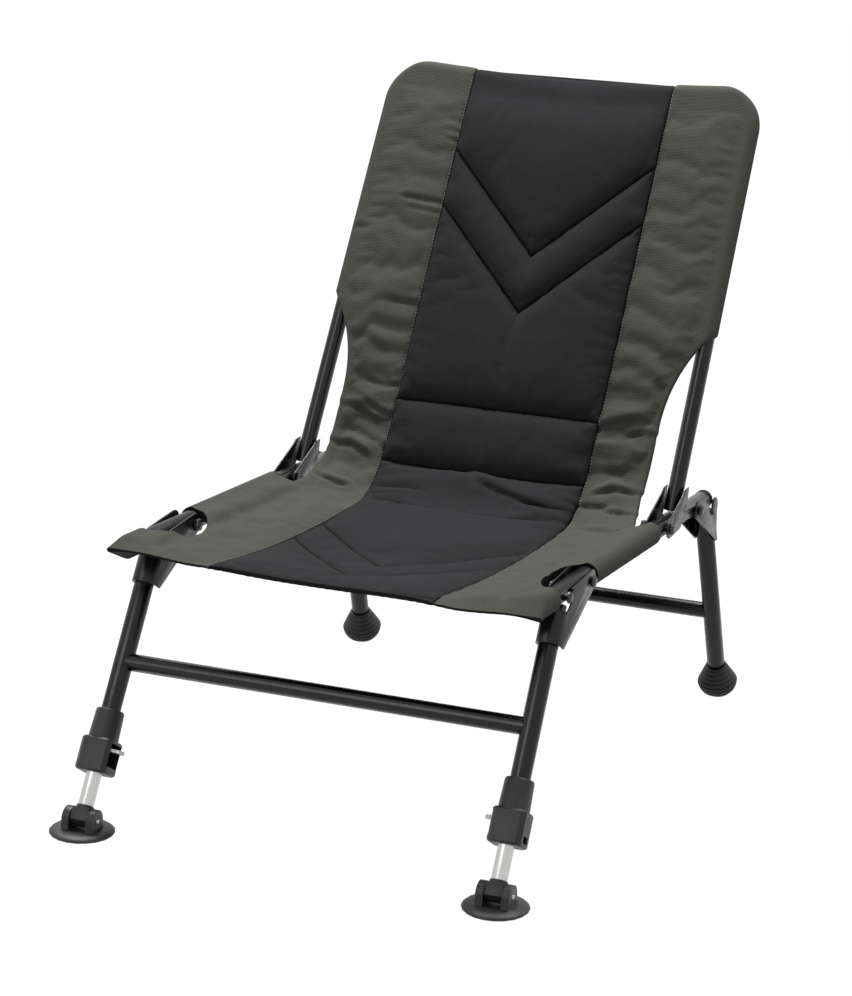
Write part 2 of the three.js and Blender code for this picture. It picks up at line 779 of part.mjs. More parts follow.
// Line of the backrest tube: up one side, round two corners, along the dipping top and down again
function backPath() {
  const r = backCornerRadius;
  const top = backBarLength;
  const half = [new THREE.Vector3(railHalfSpacing, 0, 0)];
  for (let i = 0; i <= cornerSteps; i++) {
    const turn = (i / cornerSteps) * (Math.PI / 2);
    const x = backBarHalf + r * Math.cos(turn);
    half.push(new THREE.Vector3(x, 0, top - r + r * Math.sin(turn)));
  }
  for (let i = barSteps - 1; i > 0; i--) {
    const x = (backBarHalf * i) / barSteps;
    half.push(new THREE.Vector3(x, 0, top - barDip(x)));
  }
  const middlePoint = new THREE.Vector3(0, 0, top - barDip(0));
  const mirrored = half.map((p) => new THREE.Vector3(-p.x, p.y, p.z)).reverse();
  return new Stations([...half, middlePoint, ...mirrored]);
}

function backTube(radius, count) {
  const section = new THREE.Shape().absarc(0, 0, radius, 0, 2 * Math.PI);
  const extrudePath = backPath();
  const steps = extrudePath.points.length - 1;
  return new THREE.ExtrudeGeometry(section, { steps, extrudePath, curveSegments: count / 2 });
}

// The side tubes end parallel to the rails, a small gap above them, and are open below
function backFrameTube() {
  const reach = railHalfSpacing * 2;
  const low = onRail(0, backBaseAt).z + railDiameter / 2 + backEndGap;
  const under = block(
    new THREE.Vector3(-reach, -reach, -reach),
    new THREE.Vector3(reach, reach, 0),
  );
  under.rotateX(-railFall).translate(0, onRail(0, backBaseAt).y, low);
  const bore = backTube(backDiameter / 2 - tubeWall, boltSides);
  return cut(backTube(backDiameter / 2, backSides), inside(backFrame, under), bore);
}
backFrame.add(mesh("back_frame", backFrameTube(), "blackPaint"));

// Hinge plates of the backrest, a pair on each side of a tube, from the pivot to the tube's axis
function backPlateOutline() {
  const pivot = backFrame.worldToLocal(onRail(0, 0));
  const r = backDiameter / 2;
  const shoulder = { y: -r * 1.15, z: r * 3.2 };
  const heel = { y: r / 5, z: -r * 0.7 };
  const outline = new THREE.Shape();
  outline.moveTo(heel.y, heel.z);
  outline.lineTo(r * 0.75, r * 0.7);
  outline.lineTo(r * 0.82, r * 3.1);
  outline.lineTo(r * 0.35, r * 4.65);
  outline.lineTo(-r * 0.6, r * 4);
  outline.quadraticCurveTo(-r, r * 3.7, shoulder.y, shoulder.z);
  const high = tangentAngle(shoulder, pivot, backPivotRadius, 1);
  const low = tangentAngle(heel, pivot, backPivotRadius, -1);
  outline.absarc(pivot.y, pivot.z, backPivotRadius, high, low + 2 * Math.PI);
  outline.closePath();
  outline.holes.push(new THREE.Path().absarc(pivot.y, pivot.z, boltHole, 0, 2 * Math.PI, true));
  return outline;
}

for (const { name, sign } of sides) {
  for (const [face, x] of [["outer", plateInner], ["inner", -plateOuter]]) {
    const made = mesh(`back_plate_${face}_${name}`, plate(backPlateOutline(), x, sheet), "plateSteel");
    made.position.x = sign * railHalfSpacing;
    if (sign < 0) made.position.x = -railHalfSpacing - 2 * x - sheet;
    backFrame.add(made);
  }
}

// Cover. A sheet solid lies between a grid of upper points and a grid of lower points.
function sheetSolid(upper, lower) {
  const rows = upper.length;
  const columns = upper[0].length;
  const positions = [...upper.flat(), ...lower.flat()].flatMap((p) => p.toArray());
  const top = (r, c) => r * columns + c;
  const low = (r, c) => rows * columns + r * columns + c;
  const index = [];
  const quad = (a, b, c, d) => index.push(a, b, c, a, c, d);
  for (let r = 0; r < rows - 1; r++) {
    for (let c = 0; c < columns - 1; c++) {
      quad(top(r, c), top(r, c + 1), top(r + 1, c + 1), top(r + 1, c));
      quad(low(r, c), low(r + 1, c), low(r + 1, c + 1), low(r, c + 1));
    }
    quad(low(r, 0), top(r, 0), top(r + 1, 0), low(r + 1, 0));
    const last = columns - 1;
    quad(top(r, last), low(r, last), low(r + 1, last), top(r + 1, last));
  }
  for (let c = 0; c < columns - 1; c++) {
    quad(low(0, c), low(0, c + 1), top(0, c + 1), top(0, c));
    const last = rows - 1;
    quad(top(last, c), top(last, c + 1), low(last, c + 1), low(last, c));
  }
  return new THREE.BufferGeometry()
    .setAttribute("position", new THREE.Float32BufferAttribute(positions, 3))
    .setIndex(index);
}

// Columns across the cover: shares of the way from the middle to the seam, then to the edge roll
const padShares = [0, 0.45, 0.82];
const panelShares = [0, 0.12, 0.5, 0.8];
const edgeRollDegrees = [90, 50, 15];

// Padding swells between two sewn lines and is drawn in at both
const swell = (share) => Math.sqrt(Math.max(0, Math.sin(Math.PI * share)));

// One row of the cover. half is its half width at the outer edge, roll the radius of its edge,
// face(x) the height of its upper side, depth(x) its thickness, place(x, height) the point itself
function coverRow({ half, roll, rollHeight, face, depth, place }) {
  const centre = half - roll;
  const seam = Math.min(seamHalfSpacing, centre * 0.8);
  const across = [
    ...padShares.map((share) => share * seam),
    ...panelShares.map((share) => seam + share * (centre - seam)),
  ];
  const upper = across.map((x) => [x, face(x)]);
  const lower = across.map((x) => {
    const taper = Math.max(0, 1 - (centre - x) / sleeveTaper);
    const sewn = face(x) - depth(x);
    return [x, THREE.MathUtils.lerp(sewn, Math.min(sewn, rollHeight - roll), taper * taper)];
  });
  for (const degrees of edgeRollDegrees) {
    const turn = rad(degrees);
    upper.push([centre + roll * Math.cos(turn), rollHeight + roll * Math.sin(turn)]);
    lower.push([centre + roll * Math.cos(turn), rollHeight - roll * Math.sin(turn)]);
  }
  const mirrored = (points) => [
    ...points.slice(1).reverse().map(([x, h]) => place(-x, h)),
    ...points.map(([x, h]) => place(x, h)),
  ];
  return { upper: mirrored(upper), lower: mirrored(lower) };
}

// Rows between sewn stations. Each station gives the place of the row in the middle and at the
// seams; bay is how far a row lies between its two stations
function bays(stations, counts) {
  const rows = [];
  stations.slice(0, -1).forEach((from, i) => {
    const to = stations[i + 1];
    for (let k = 0; k < counts[i]; k++) {
      const bay = k / counts[i];
      const mid = THREE.MathUtils.lerp(from.mid, to.mid, bay);
      const side = THREE.MathUtils.lerp(from.side, to.side, bay);
      const dip = THREE.MathUtils.lerp(from.dip ?? 0, to.dip ?? 0, bay);
      rows.push({ mid, side, dip, bay });
    }
  });
  return [...rows, { ...stations[stations.length - 1], bay: 0 }];
}

function rowPlace({ mid, side, dip }, x) {
  const place = THREE.MathUtils.lerp(mid, side, Math.min(1, Math.abs(x) / seamHalfSpacing));
  return dip ? place - dip * barDip(x) : place;
}

// Padding on top of the plain cloth at x, in a row that lies at bay between sewn lines
function padding(x, bay) {
  const share = Math.abs(x) / seamHalfSpacing;
  if (share >= 1) return 0;
  return padCrown * swell(bay) * swell(0.5 + share / 2);
}

function clothDepth(x) {
  const share = Math.min(1, Math.abs(x) / seamHalfSpacing);
  return THREE.MathUtils.lerp(padThickness, sidePanelThickness, share ** 4);
}

// Seat cover: it rolls around both rails and sags between them, with cut-outs at the brackets
const railRoll = railDiameter / 2 + gap + clothThickness;

function seatSag(along) {
  const share = (along - seatFrontEdge) / (seatRearEdge - seatFrontEdge);
  const middle = 4 * share * (1 - share);
  const ends = THREE.MathUtils.lerp(seatSagFront, seatSagRear, share);
  return ends + (seatSagMiddle - (seatSagFront + seatSagRear) / 2) * middle;
}

function seatFace(x, along) {
  const share = Math.min(1, Math.abs(x) / railHalfSpacing);
  return railRoll - (railRoll + seatSag(along)) * (1 - share ** 2.6);
}

// The ends of the sleeves are sewn flat in front of the rails: 1 at the front edge, 0 at the rail
function sleeveEnd(along) {
  return THREE.MathUtils.clamp((seatFrontEdge + sleeveEndLength - along) / sleeveEndLength, 0, 1);
}

function seatCover() {
  const front = seatFrontEdge;
  const rear = seatRearEdge;
  const hem = sleeveEndLength / 2;
  const one = seatFirstChevron;
  const two = seatSecondChevron;
  const stations = [
    { mid: front, side: front },
    { mid: front + hem, side: front + hem },
    { mid: front + sleeveEndLength, side: front + sleeveEndLength },
    { mid: one, side: one + seatChevronRise },
    { mid: two, side: two + seatChevronRise },
    { mid: rear, side: rear },
  ];
  const rows = bays(stations, [1, 1, 5, 4, 5]).map((row) => {
    const flat = sleeveEnd(row.side);
    return coverRow({
      half: railHalfSpacing + railRoll,
      roll: THREE.MathUtils.lerp(railRoll, hemRadius, flat),
      rollHeight: -sleeveEndDrop * flat,
      face: (x) => {
        const side = THREE.MathUtils.smoothstep(Math.abs(x), seamHalfSpacing, railHalfSpacing);
        const open = seatFace(x, rowPlace(row, x)) + padding(x, row.bay);
        return THREE.MathUtils.lerp(open, hemRadius - sleeveEndDrop, side * flat);
      },
      depth: (x) => clothDepth(x) + padding(x, row.bay),
      place: (x, height) => new THREE.Vector3(x, rowPlace(row, x), height),
    });
  });
  const made = sheetSolid(rows.map((row) => row.upper), rows.map((row) => row.lower));
  const tools = sides.flatMap(({ sign }) => [railSpace(sign), bracketCutout(sign)]);
  return cut(made, ...tools);
}

// Room for a rail and its plug inside the sleeve
function railSpace(sign) {
  const end = railFrontEnd - plugLength / 2 - gap;
  const room = bar(railDiameter / 2 + gap, end, -seatFrontEdge, tubeSides);
  return room.rotateX(-Math.PI / 2).translate(sign * railHalfSpacing, 0, 0);
}

// D shaped opening in the sleeve, bound all round, where the leg bracket comes through
function bracketCutout(sign) {
  const outer = railHalfSpacing + railRoll + overrun;
  const inner = railHalfSpacing - cutoutInset;
  const r = cutoutCorner;
  const outline = new THREE.Shape();
  outline.moveTo(outer, cutoutFront);
  outline.lineTo(outer, cutoutRear);
  outline.lineTo(inner + r, cutoutRear);
  outline.absarc(inner + r, cutoutRear - r, r, Math.PI / 2, Math.PI);
  outline.lineTo(inner, cutoutFront + r / 2);
  outline.absarc(inner + r / 2, cutoutFront + r / 2, r / 2, Math.PI, Math.PI * 1.5);
  outline.closePath();
  const depth = railHalfSpacing;
  const made = new THREE.ExtrudeGeometry(outline, { depth, bevelEnabled: false, curveSegments: 3 });
  return made.translate(0, 0, -depth / 2).rotateY(sign > 0 ? 0 : Math.PI);
}
seatFrame.add(mesh("seat_cover", seatCover(), "cloth"));

// Back cover: a pocket over the top of the frame, free of it below, where its edges curve in
const backRoll = backDiameter / 2 + gap + clothThickness;
const backTopEdge = backBarLength + backRoll;

// Half width of the back cover at a height along the side tubes
function backHalfWidth(height) {
  const full = backTubeSpacing(height) + backRoll;
  if (height > backShoulder) {
    const share = Math.min(1, (height - backShoulder) / (backTopEdge - backShoulder));
    return backBarHalf + (full - backBarHalf) * Math.sqrt(1 - share * share);
  }
  if (height > pocketLowEdge) return full;
  const low = backLowEdge + backRoll * 2;
  const share = Math.max(0, (height - low) / (pocketLowEdge - low));
  return THREE.MathUtils.lerp(railHalfSpacing - backLowInset, full, share ** 2.4);
}

// The last rows round the pocket over the top bar: how far below the top edge, and how thick
const closingShares = [
  [0, 0.4],
  [0.25, 0.78],
  [0.8, 1],
];
const pocketSeam = backTopEdge - 1.8 * backRoll;

// Behind the top bar the rear cloth of the pocket draws in towards the front cloth
function closure(height) {
  const share = (height - pocketSeam + sleeveTaper) / sleeveTaper;
  return THREE.MathUtils.clamp(share, 0, 1) ** 2;
}

function backCover() {
  const flat = (height, dip = 0) => ({ mid: height, side: height, dip });
  const chevron = (height) => ({ mid: height, side: height + backChevronRise });
  const closing = closingShares.map(([below]) => flat(backTopEdge - below * backRoll, 1)).reverse();
  const stations = [
    flat(backLowEdge),
    flat(backFirstBar),
    chevron(backFirstChevron),
    chevron(backSecondChevron),
    flat(pocketSeam, 1),
    ...closing,
  ];
  const rows = bays(stations, [2, 5, 4, 5, 1, 1, 1]).map((row, i, all) => {
    const fromTop = all.length - 1 - i;
    const [, thickShare] = closingShares[fromTop] ?? closingShares.at(-1);
    const closed = fromTop < closingShares.length;
    const share = THREE.MathUtils.smoothstep(row.side, pocketLowEdge - backRoll, pocketLowEdge);
    const round = backRoll * thickShare;
    const front = Math.min(round, backCoverFront);
    return coverRow({
      half: backHalfWidth(row.side),
      roll: THREE.MathUtils.lerp(hemRadius, round, share),
      rollHeight: THREE.MathUtils.lerp(backCoverFront - hemRadius, 0, share),
      face: (x) => front + (closed ? 0 : padding(x, row.bay)),
      depth: (x) => {
        const open = clothDepth(x) + (closed ? 0 : padding(x, row.bay));
        return THREE.MathUtils.lerp(open, front + round, closure(rowPlace(row, x) + row.dip * barDip(x)));
      },
      place: (x, height) => new THREE.Vector3(x, -height, rowPlace(row, x)),
    });
  });
  const made = sheetSolid(rows.map((row) => row.upper), rows.map((row) => row.lower));
  return cut(made, backTube(backDiameter / 2 + gap, backSides));
}
backFrame.add(mesh("back_cover", backCover(), "cloth"));

// Waist of the cover: the free cloth that turns from the seat up into the backrest
function waistCover() {
  const start = seatRearEdge + gap;
  const backPoint = (height) => {
    const local = new THREE.Vector3(0, -backCoverFront, height);
    return seatFrame.worldToLocal(backFrame.localToWorld(local));
  };
  const end = backPoint(backLowEdge - gap);
  const up = backPoint(backLowEdge - gap - 1).sub(end).normalize();
  const count = 8;
  const rows = Array.from({ length: count + 1 }, (_, i) => {
    const share = i / count;
    const surface = (x) => {
      const from = new THREE.Vector2(start, seatFace(x, seatRearEdge));
      const to = new THREE.Vector2(end.y, end.z);
      const reach = (to.y - from.y) / up.z;
      const turn = new THREE.Vector2(to.x - up.y * reach, from.y);
      return new THREE.QuadraticBezierCurve(from, turn, to);
    };
    return coverRow({
      half: railHalfSpacing - THREE.MathUtils.lerp(waistInset, backLowInset, Math.sqrt(share)),
      roll: hemRadius,
      rollHeight: -hemRadius,
      face: () => 0,
      depth: (x) => clothDepth(x),
      place: (x, height) => {
        const curve = surface(Math.abs(x));
        const at = curve.getPoint(share);
        const along = curve.getTangent(share);
        return new THREE.Vector3(x, at.x - along.y * height, at.y + along.x * height);
      },
    });
  });
  return sheetSolid(rows.map((row) => row.upper), rows.map((row) => row.lower));
}
seatFrame.updateMatrixWorld(true);
seatFrame.add(mesh("waist_cover", waistCover(), "cloth"));

// The origin is on the floor, under the middle of the whole chair
chair.updateMatrixWorld(true);
const extent = new THREE.Box3().setFromObject(chair, true);
const middle = extent.getCenter(new THREE.Vector3());
chair.position.set(-middle.x, -middle.y, -extent.min.z);

export default chair;
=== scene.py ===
# %% [markdown]
# # Dressing a folding bank-side chair
# The CAD frame gives the tubes, brackets, legs and feet. This lesson adds what CAD leaves plain:
# a sewn and padded cloth cover, softened edges on the metal, ringed rubber feet, and a worked
# surface everywhere. Sizes are in millimetres until they reach a mesh, which is in metres.

import json
import math

import bpy
import numpy as np
from mathutils import Matrix, Vector

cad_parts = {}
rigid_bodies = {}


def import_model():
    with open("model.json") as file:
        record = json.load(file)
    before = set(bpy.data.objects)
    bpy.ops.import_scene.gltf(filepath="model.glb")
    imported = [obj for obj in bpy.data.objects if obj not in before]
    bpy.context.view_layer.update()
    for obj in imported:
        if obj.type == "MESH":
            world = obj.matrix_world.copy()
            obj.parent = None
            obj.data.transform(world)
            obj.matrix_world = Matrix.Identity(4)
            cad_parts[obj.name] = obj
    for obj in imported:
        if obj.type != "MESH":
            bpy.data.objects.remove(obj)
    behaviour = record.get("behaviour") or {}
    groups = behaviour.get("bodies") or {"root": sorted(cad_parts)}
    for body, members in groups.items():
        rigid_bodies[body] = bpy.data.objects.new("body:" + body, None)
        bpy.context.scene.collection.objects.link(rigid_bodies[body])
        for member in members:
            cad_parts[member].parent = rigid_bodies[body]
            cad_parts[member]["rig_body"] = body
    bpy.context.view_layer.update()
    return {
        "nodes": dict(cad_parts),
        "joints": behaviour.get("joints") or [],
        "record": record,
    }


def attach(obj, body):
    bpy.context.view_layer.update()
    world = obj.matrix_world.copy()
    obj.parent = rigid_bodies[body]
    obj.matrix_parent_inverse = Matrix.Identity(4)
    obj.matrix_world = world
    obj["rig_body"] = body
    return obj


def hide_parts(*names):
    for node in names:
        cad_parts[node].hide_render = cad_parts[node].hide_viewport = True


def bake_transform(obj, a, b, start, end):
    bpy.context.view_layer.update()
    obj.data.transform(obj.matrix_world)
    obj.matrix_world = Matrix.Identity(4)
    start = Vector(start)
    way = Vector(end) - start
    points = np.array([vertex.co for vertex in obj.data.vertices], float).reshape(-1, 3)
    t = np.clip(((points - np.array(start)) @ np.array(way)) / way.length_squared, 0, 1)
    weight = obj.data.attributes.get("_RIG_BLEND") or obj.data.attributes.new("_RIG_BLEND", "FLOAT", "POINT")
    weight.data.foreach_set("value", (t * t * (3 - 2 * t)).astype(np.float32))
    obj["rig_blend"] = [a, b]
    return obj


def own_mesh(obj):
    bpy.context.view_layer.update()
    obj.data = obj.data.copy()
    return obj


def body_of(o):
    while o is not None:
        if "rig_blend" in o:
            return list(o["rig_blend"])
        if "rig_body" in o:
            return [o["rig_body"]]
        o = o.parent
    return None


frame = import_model()
joints = {j["name"]: j for j in frame["joints"]}

# %% [markdown]
# ## The camera
# The photograph was taken from in front of the chair, on its +X side and a little above. Judging
# such a camera by eye never quite fits, so its numbers were worked out from the tube lines of the
# chair in the photograph, which is why they aren't round. The picture's middle lies a little
# aside of the lens's axis, because the photograph was cropped.

# %% Camera
hinge = Vector(joints["back_fold"]["pos_m"])
PHOTO_HEIGHT = 996
SENSOR = 36


def add_camera(place, yaw, pitch, roll, pixels, aside):
    """Puts a camera at a place, turned by three angles, with its focal length in pixels."""
    ahead = Vector((-math.sin(yaw) * math.cos(pitch), math.cos(yaw) * math.cos(pitch), math.sin(pitch)))
    right = Vector((math.cos(yaw), math.sin(yaw), 0))
    up = right.cross(ahead)
    turned = right * math.cos(roll) + up * math.sin(roll)
    upright = up * math.cos(roll) - right * math.sin(roll)
    bpy.ops.object.camera_add()
    camera = bpy.context.object
    turn = Matrix((turned, upright, -ahead)).transposed().to_4x4()
    camera.matrix_world = Matrix.Translation(place) @ turn
    camera.data.sensor_width = SENSOR
    camera.data.lens = pixels * SENSOR / PHOTO_HEIGHT
    camera.data.shift_x = -aside[0] / PHOTO_HEIGHT
    camera.data.shift_y = -aside[1] / PHOTO_HEIGHT
    camera.data.clip_end = 50
    bpy.context.scene.camera = camera


add_camera(
    place=Vector((1.25553, -3.33126 + hinge.y, 1.2384)),
    yaw=math.radians(20.77),
    pitch=math.radians(-14.21),
    roll=math.radians(2.15),
    pixels=3086.1,
    aside=(38.2, 40.0),
)
print("camera set")

# %% [markdown]
# ## Small helpers for node materials
# Each material is a chain of procedural nodes. `start_material` starts one, `link` joins two
# sockets, `vary` lets a cloudy value change a colour or a gloss, and the rest are links of the
# chain that are used again and again.

# %% Material helpers


def start_material(name, colour, roughness, metallic=0.0, **sockets):
    """A new material whose plain numbers sit on the shader's own sockets."""
    material = bpy.data.materials.new(name)
    material.use_nodes = True
    shader = material.node_tree.nodes["Principled BSDF"]
    shader.inputs["Base Color"].default_value = (*colour, 1)
    shader.inputs["Roughness"].default_value = roughness
    shader.inputs["Metallic"].default_value = metallic
    for socket, value in sockets.items():
        shader.inputs[socket.replace("_", " ")].default_value = value
    return material, shader


def add_node(material, kind, **values):
    """A node of a kind, with values for its inputs by name or its own settings."""
    node = material.node_tree.nodes.new(kind)
    for key, value in values.items():
        if key in node.inputs:
            node.inputs[key].default_value = value
        else:
            setattr(node, key, value)
    return node


def link(material, source, target):
    material.node_tree.links.new(source, target)


def object_place(material):
    """Where a point lies on its own object."""
    return add_node(material, "ShaderNodeTexCoord").outputs["Object"]


def noise(material, coordinates, scale, detail=4.0, roughness=0.55):
    """Cloudy values from 0 to 1, finer for a larger scale."""
    made = add_node(material, "ShaderNodeTexNoise", Scale=scale, Detail=detail, Roughness=roughness)
    link(material, coordinates, made.inputs["Vector"])
    return made.outputs["Fac"]


def vary(material, shader, socket, value, middle, *stops):
    """Drives a socket by a value. Each stop is a place and a share of the middle colour."""
    made = material.node_tree.nodes.new("ShaderNodeValToRGB")
    link(material, value, made.inputs["Fac"])
    elements = made.color_ramp.elements
    for number, (place, share) in enumerate(stops):
        element = elements[number] if number < 2 else elements.new(place)
        element.position, element.color = place, (*(c * share for c in middle), 1)
    link(material, made.outputs["Color"], shader.inputs[socket])


def maths(material, operation, first, second):
    """One sum of two sockets or numbers."""
    made = add_node(material, "ShaderNodeMath", operation=operation)
    for socket, value in zip(made.inputs, (first, second)):
        if isinstance(value, (int, float)):
            socket.default_value = value
        else:
            link(material, value, socket)
    return made.outputs[0]


def bump(material, shader, height, strength, distance, below=None):
    """Small relief from a height, on top of another relief if one is given."""
    made = add_node(material, "ShaderNodeBump", Strength=strength, Distance=distance)
    link(material, height, made.inputs["Height"])
    if below is not None:
        link(material, below, made.inputs["Normal"])
    link(material, made.outputs["Normal"], shader.inputs["Normal"])
    return made.outputs["Normal"]


# %% [markdown]
# ## Surfaces of the frame
# The tubes are black paint, smooth with a faint orange peel. Plastic has a fine moulded grain,
# rubber a matt dusty one, drawn aluminium has long fine lines, and the plates are a satin black.
# Pictures of such surfaces could be laid on the metal. Noise is used instead, because it has no
# seams and follows each tube wherever it is bent or turned.

# %% Frame materials


def painted(name, colour, roughness, specular, metallic=0.0, peel=0.1):
    """Paint with slow changes of tone and gloss, and the skin of an orange when seen close."""
    material, shader = start_material(name, colour, roughness, metallic, Specular_IOR_Level=specular)
    where = object_place(material)
    clouds, rubbed = noise(material, where, 25), noise(material, where, 140, detail=6)
    vary(material, shader, "Base Color", clouds, colour, (0.3, 0.85), (0.75, 1.25))
    vary(material, shader, "Roughness", rubbed, [roughness] * 3, (0.35, 0.8), (0.7, 1.3))
    bump(material, shader, noise(material, where, 1500, detail=2), peel, 0.0002)
    return material


def grained(name, colour, roughness, grain, depth, specular):
    """Moulded plastic or rubber: a fine even grain and slightly paler rubbed places."""
    material, shader = start_material(name, colour, roughness, Specular_IOR_Level=specular)
    where = object_place(material)
    rubbed = noise(material, where, 45, detail=5)
    vary(material, shader, "Base Color", rubbed, colour, (0.35, 0.85), (0.75, 1.6))
    bump(material, shader, noise(material, where, grain, detail=3), depth, 0.0004)
    return material


def brushed(name, colour, roughness, stretch, metallic=1.0):
    """Drawn or turned metal: noise squeezed along two axes, so that it forms lines."""
    material, shader = start_material(name, colour, roughness, metallic)
    squeezed = add_node(material, "ShaderNodeMapping", Scale=stretch)
    link(material, object_place(material), squeezed.inputs["Vector"])
    lines = noise(material, squeezed.outputs["Vector"], 90, detail=5)
    vary(material, shader, "Roughness", lines, [roughness] * 3, (0.3, 0.7), (0.7, 1.4))
    vary(material, shader, "Base Color", lines, colour, (0.25, 0.88), (0.75, 1.0))
    bump(material, shader, lines, 0.15, 0.0003)
    return material


finishes = {
    "frame_paint": painted("frame_paint", (0.004, 0.004, 0.0045), 0.24, 0.3),
    "hinge_plate": painted("hinge_plate", (0.010, 0.0103, 0.012), 0.3, 0.4, metallic=0.4, peel=0.15),
    "bolt_steel": brushed("bolt_steel", (0.05, 0.05, 0.055), 0.3, (6, 1, 1), 0.8),
    "moulded_plastic": grained("moulded_plastic", (0.011, 0.0112, 0.012), 0.42, 2600, 0.35, 0.35),
    "black_rubber": grained("black_rubber", (0.011, 0.011, 0.0115), 0.55, 1800, 0.45, 0.3),
    "inner_leg": brushed("inner_leg", (0.56, 0.56, 0.545), 0.3, (8, 8, 0.6)),
    "zinc_steel": brushed("zinc_steel", (0.4, 0.4, 0.38), 0.34, (3, 3, 1)),
}
print(len(finishes), "frame finishes")

# %% [markdown]
# ## Softened metal and plastic
# No real edge is a knife edge: bent sheet, moulded plastic and cut tube all catch a line of light.
# A bevel node in the shader could fake that line, but only in this renderer. So each rigid node
# is copied, its loose triangles are merged, its sharp edges get a small real bevel, and its round
# faces are shaded smooth. The copy then stands for the node and moves with the same body.

# %% Copies with softened edges
slot_of = {s["node"]: s["material_slot"] for s in frame["record"]["subparts"]}
SHARP = math.radians(38)
MERGED = 2e-6
EDGE = 0.25
EDGES = {"hinge_plate": 0.5, "moulded_plastic": 0.7, "black_rubber": 0.5, "frame_paint": 0.35}


def select_none():
    """Deselects everything, so that the next operator touches only what it should."""
    if bpy.context.mode != "OBJECT":
        bpy.ops.object.mode_set(mode="OBJECT")
    bpy.ops.object.select_all(action="DESELECT")


def make_active(piece):
    select_none()
    piece.select_set(True)
    bpy.context.view_layer.objects.active = piece


def apply_all(piece):
    """Applies every modifier of a piece, in their order."""
    make_active(piece)
    for modifier in list(piece.modifiers):
        bpy.ops.object.modifier_apply(modifier=modifier.name)


def weld(piece, distance):
    """Goes into edit mode with all selected, and merges vertices closer than a distance."""
    make_active(piece)
    bpy.ops.object.mode_set(mode="EDIT")
    bpy.ops.mesh.select_all(action="SELECT")
    bpy.ops.mesh.remove_doubles(threshold=distance)


def softened(node, width):
    """A merged copy of a CAD node with bevelled edges and smooth round faces."""
    source = frame["nodes"][node]
    piece = bpy.data.objects.new("soft_" + node, source.data.copy())
    bpy.context.scene.collection.objects.link(piece)
    weld(piece, MERGED)
    bpy.ops.mesh.dissolve_limited(angle_limit=math.radians(0.5))
    bpy.ops.object.mode_set(mode="OBJECT")
    bevel = piece.modifiers.new("edges", "BEVEL")
    bevel.width, bevel.segments = width / 1000, 2
    bevel.limit_method, bevel.angle_limit = "ANGLE", SHARP
    apply_all(piece)
    bpy.ops.object.shade_smooth_by_angle(angle=SHARP)
    piece.data.materials.clear()
    piece.data.materials.append(finishes[slot_of[node]])
    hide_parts(node)
    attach(piece, body_of(source)[0])
    return piece


softened_pieces = {
    node: softened(node, EDGES.get(slot_of[node], EDGE))
    for node in frame["nodes"]
    if slot_of[node] in finishes and not node.startswith("rubber_foot")
}
print(len(softened_pieces), "pieces with softened edges")

# %% [markdown]
# ## The lines of the cover
# The cover is one sewn sheet from the front hem over the rails and up the backrest. It could be
# pulled into shape by hand, but its seams, hems and arrows have to meet the tubes to the
# millimetre, so it is laid out row by row like a tailor's pattern. A row has a place in the
# middle and one at the seams, because the quilting lines are arrows. Places on the seat count
# along the rails from the hinge, and places on the back count up its side tubes.

# %% Sizes of the frame under the cover
RAIL_FALL, BACK_LEAN = math.radians(2.3), math.radians(31.06)
RAIL_X = 238.4  # from the middle of the chair to a rail's axis
BACK_BASE = 41.7  # from the hinge to the foot of the back's tubes, along the rails
SHOULDER, TOE_IN = 502.0, 4.5  # where the hoop's corners start, and how much it narrows up to there
BAR_HALF, BAR_DIP = 191.9, 7.0  # half the straight top bar, and how far its middle hangs

# %% [markdown]
# The next values are the cover's own: where it starts and ends, how wide its parts are, how far
# it sags, and how it is sewn.

# %% Sizes of the cover
SEAT_FRONT, SEAT_REAR = -443.0, -36.0
BACK_LOW, POCKET_LOW, BACK_TOP = 75.0, 236.0, 556.6  # end of the bend, pocket for the hoop, its top
BEND = 136.0  # length of the free cloth between seat and back
TO_BACK = SEAT_REAR + BEND - BACK_LOW  # from places up the tubes to places along the sheet
SEAM = 131.0  # from the middle to the seam between padding and side panel
PANEL = RAIL_X - SEAM
RAIL_ROLL, TUBE_ROLL, HEM = 13.9, 12.6, 2.4  # radii of the sleeve, the pocket and a plain hem
FRONT_FACE = 12.5  # height of the back's cloth over its tubes
WAIST_HALF, WAIST_START, WAIST_INSET = 203.4, 100.0, 17.0
WAIST_REACHED, WAIST_EASE, WAIST_FLARE = 0.55, 0.6, 2.4
SLEEVE_TAPER, SLEEVE_END = 46.0, 23.0  # width that leads into a sleeve, length that closes it
HEM_DROP, RIGHT_DROP = 6.5, 7.0  # sag of the front hem, and more at its right end
SAG_FRONT, SAG_REAR, SAG_MIDDLE, SAG_FLATNESS = 6.0, 20.0, 12.0, 2.6
PAD_DEPTH, CLOTH_DEPTH = 4.0, 2.6  # between the two layers
LUMBAR_SHARE = 0.7  # part of the bend below the lumbar pad's lower line
BEND_CORNER = 0.98  # how far the corner that the bend rounds lies down the back's slope
CHEVRON_SEAT, CHEVRON_BACK = 136.0, 132.0  # rise of the arrows from the middle to the seam
SEAT_LINES = [
    (SEAT_FRONT + 10, SEAT_FRONT + 10),
    (-352, -352 + CHEVRON_SEAT),
    (-270, -270 + CHEVRON_SEAT),
]
BACK_LINES = [(104.5, 104.5), (231, 231 + CHEVRON_BACK), (306, 306 + CHEVRON_BACK)]
print("sheet of", round(SEAT_REAR - SEAT_FRONT + BEND + BACK_TOP - BACK_LOW), "mm from hem to top")

# %% [markdown]
# Three helpers shape values: `lerp` goes from one to another in a straight line, `smooth` rises
# in an S that starts and ends level, and `hump` is high in one place only.

# %% Blending helpers


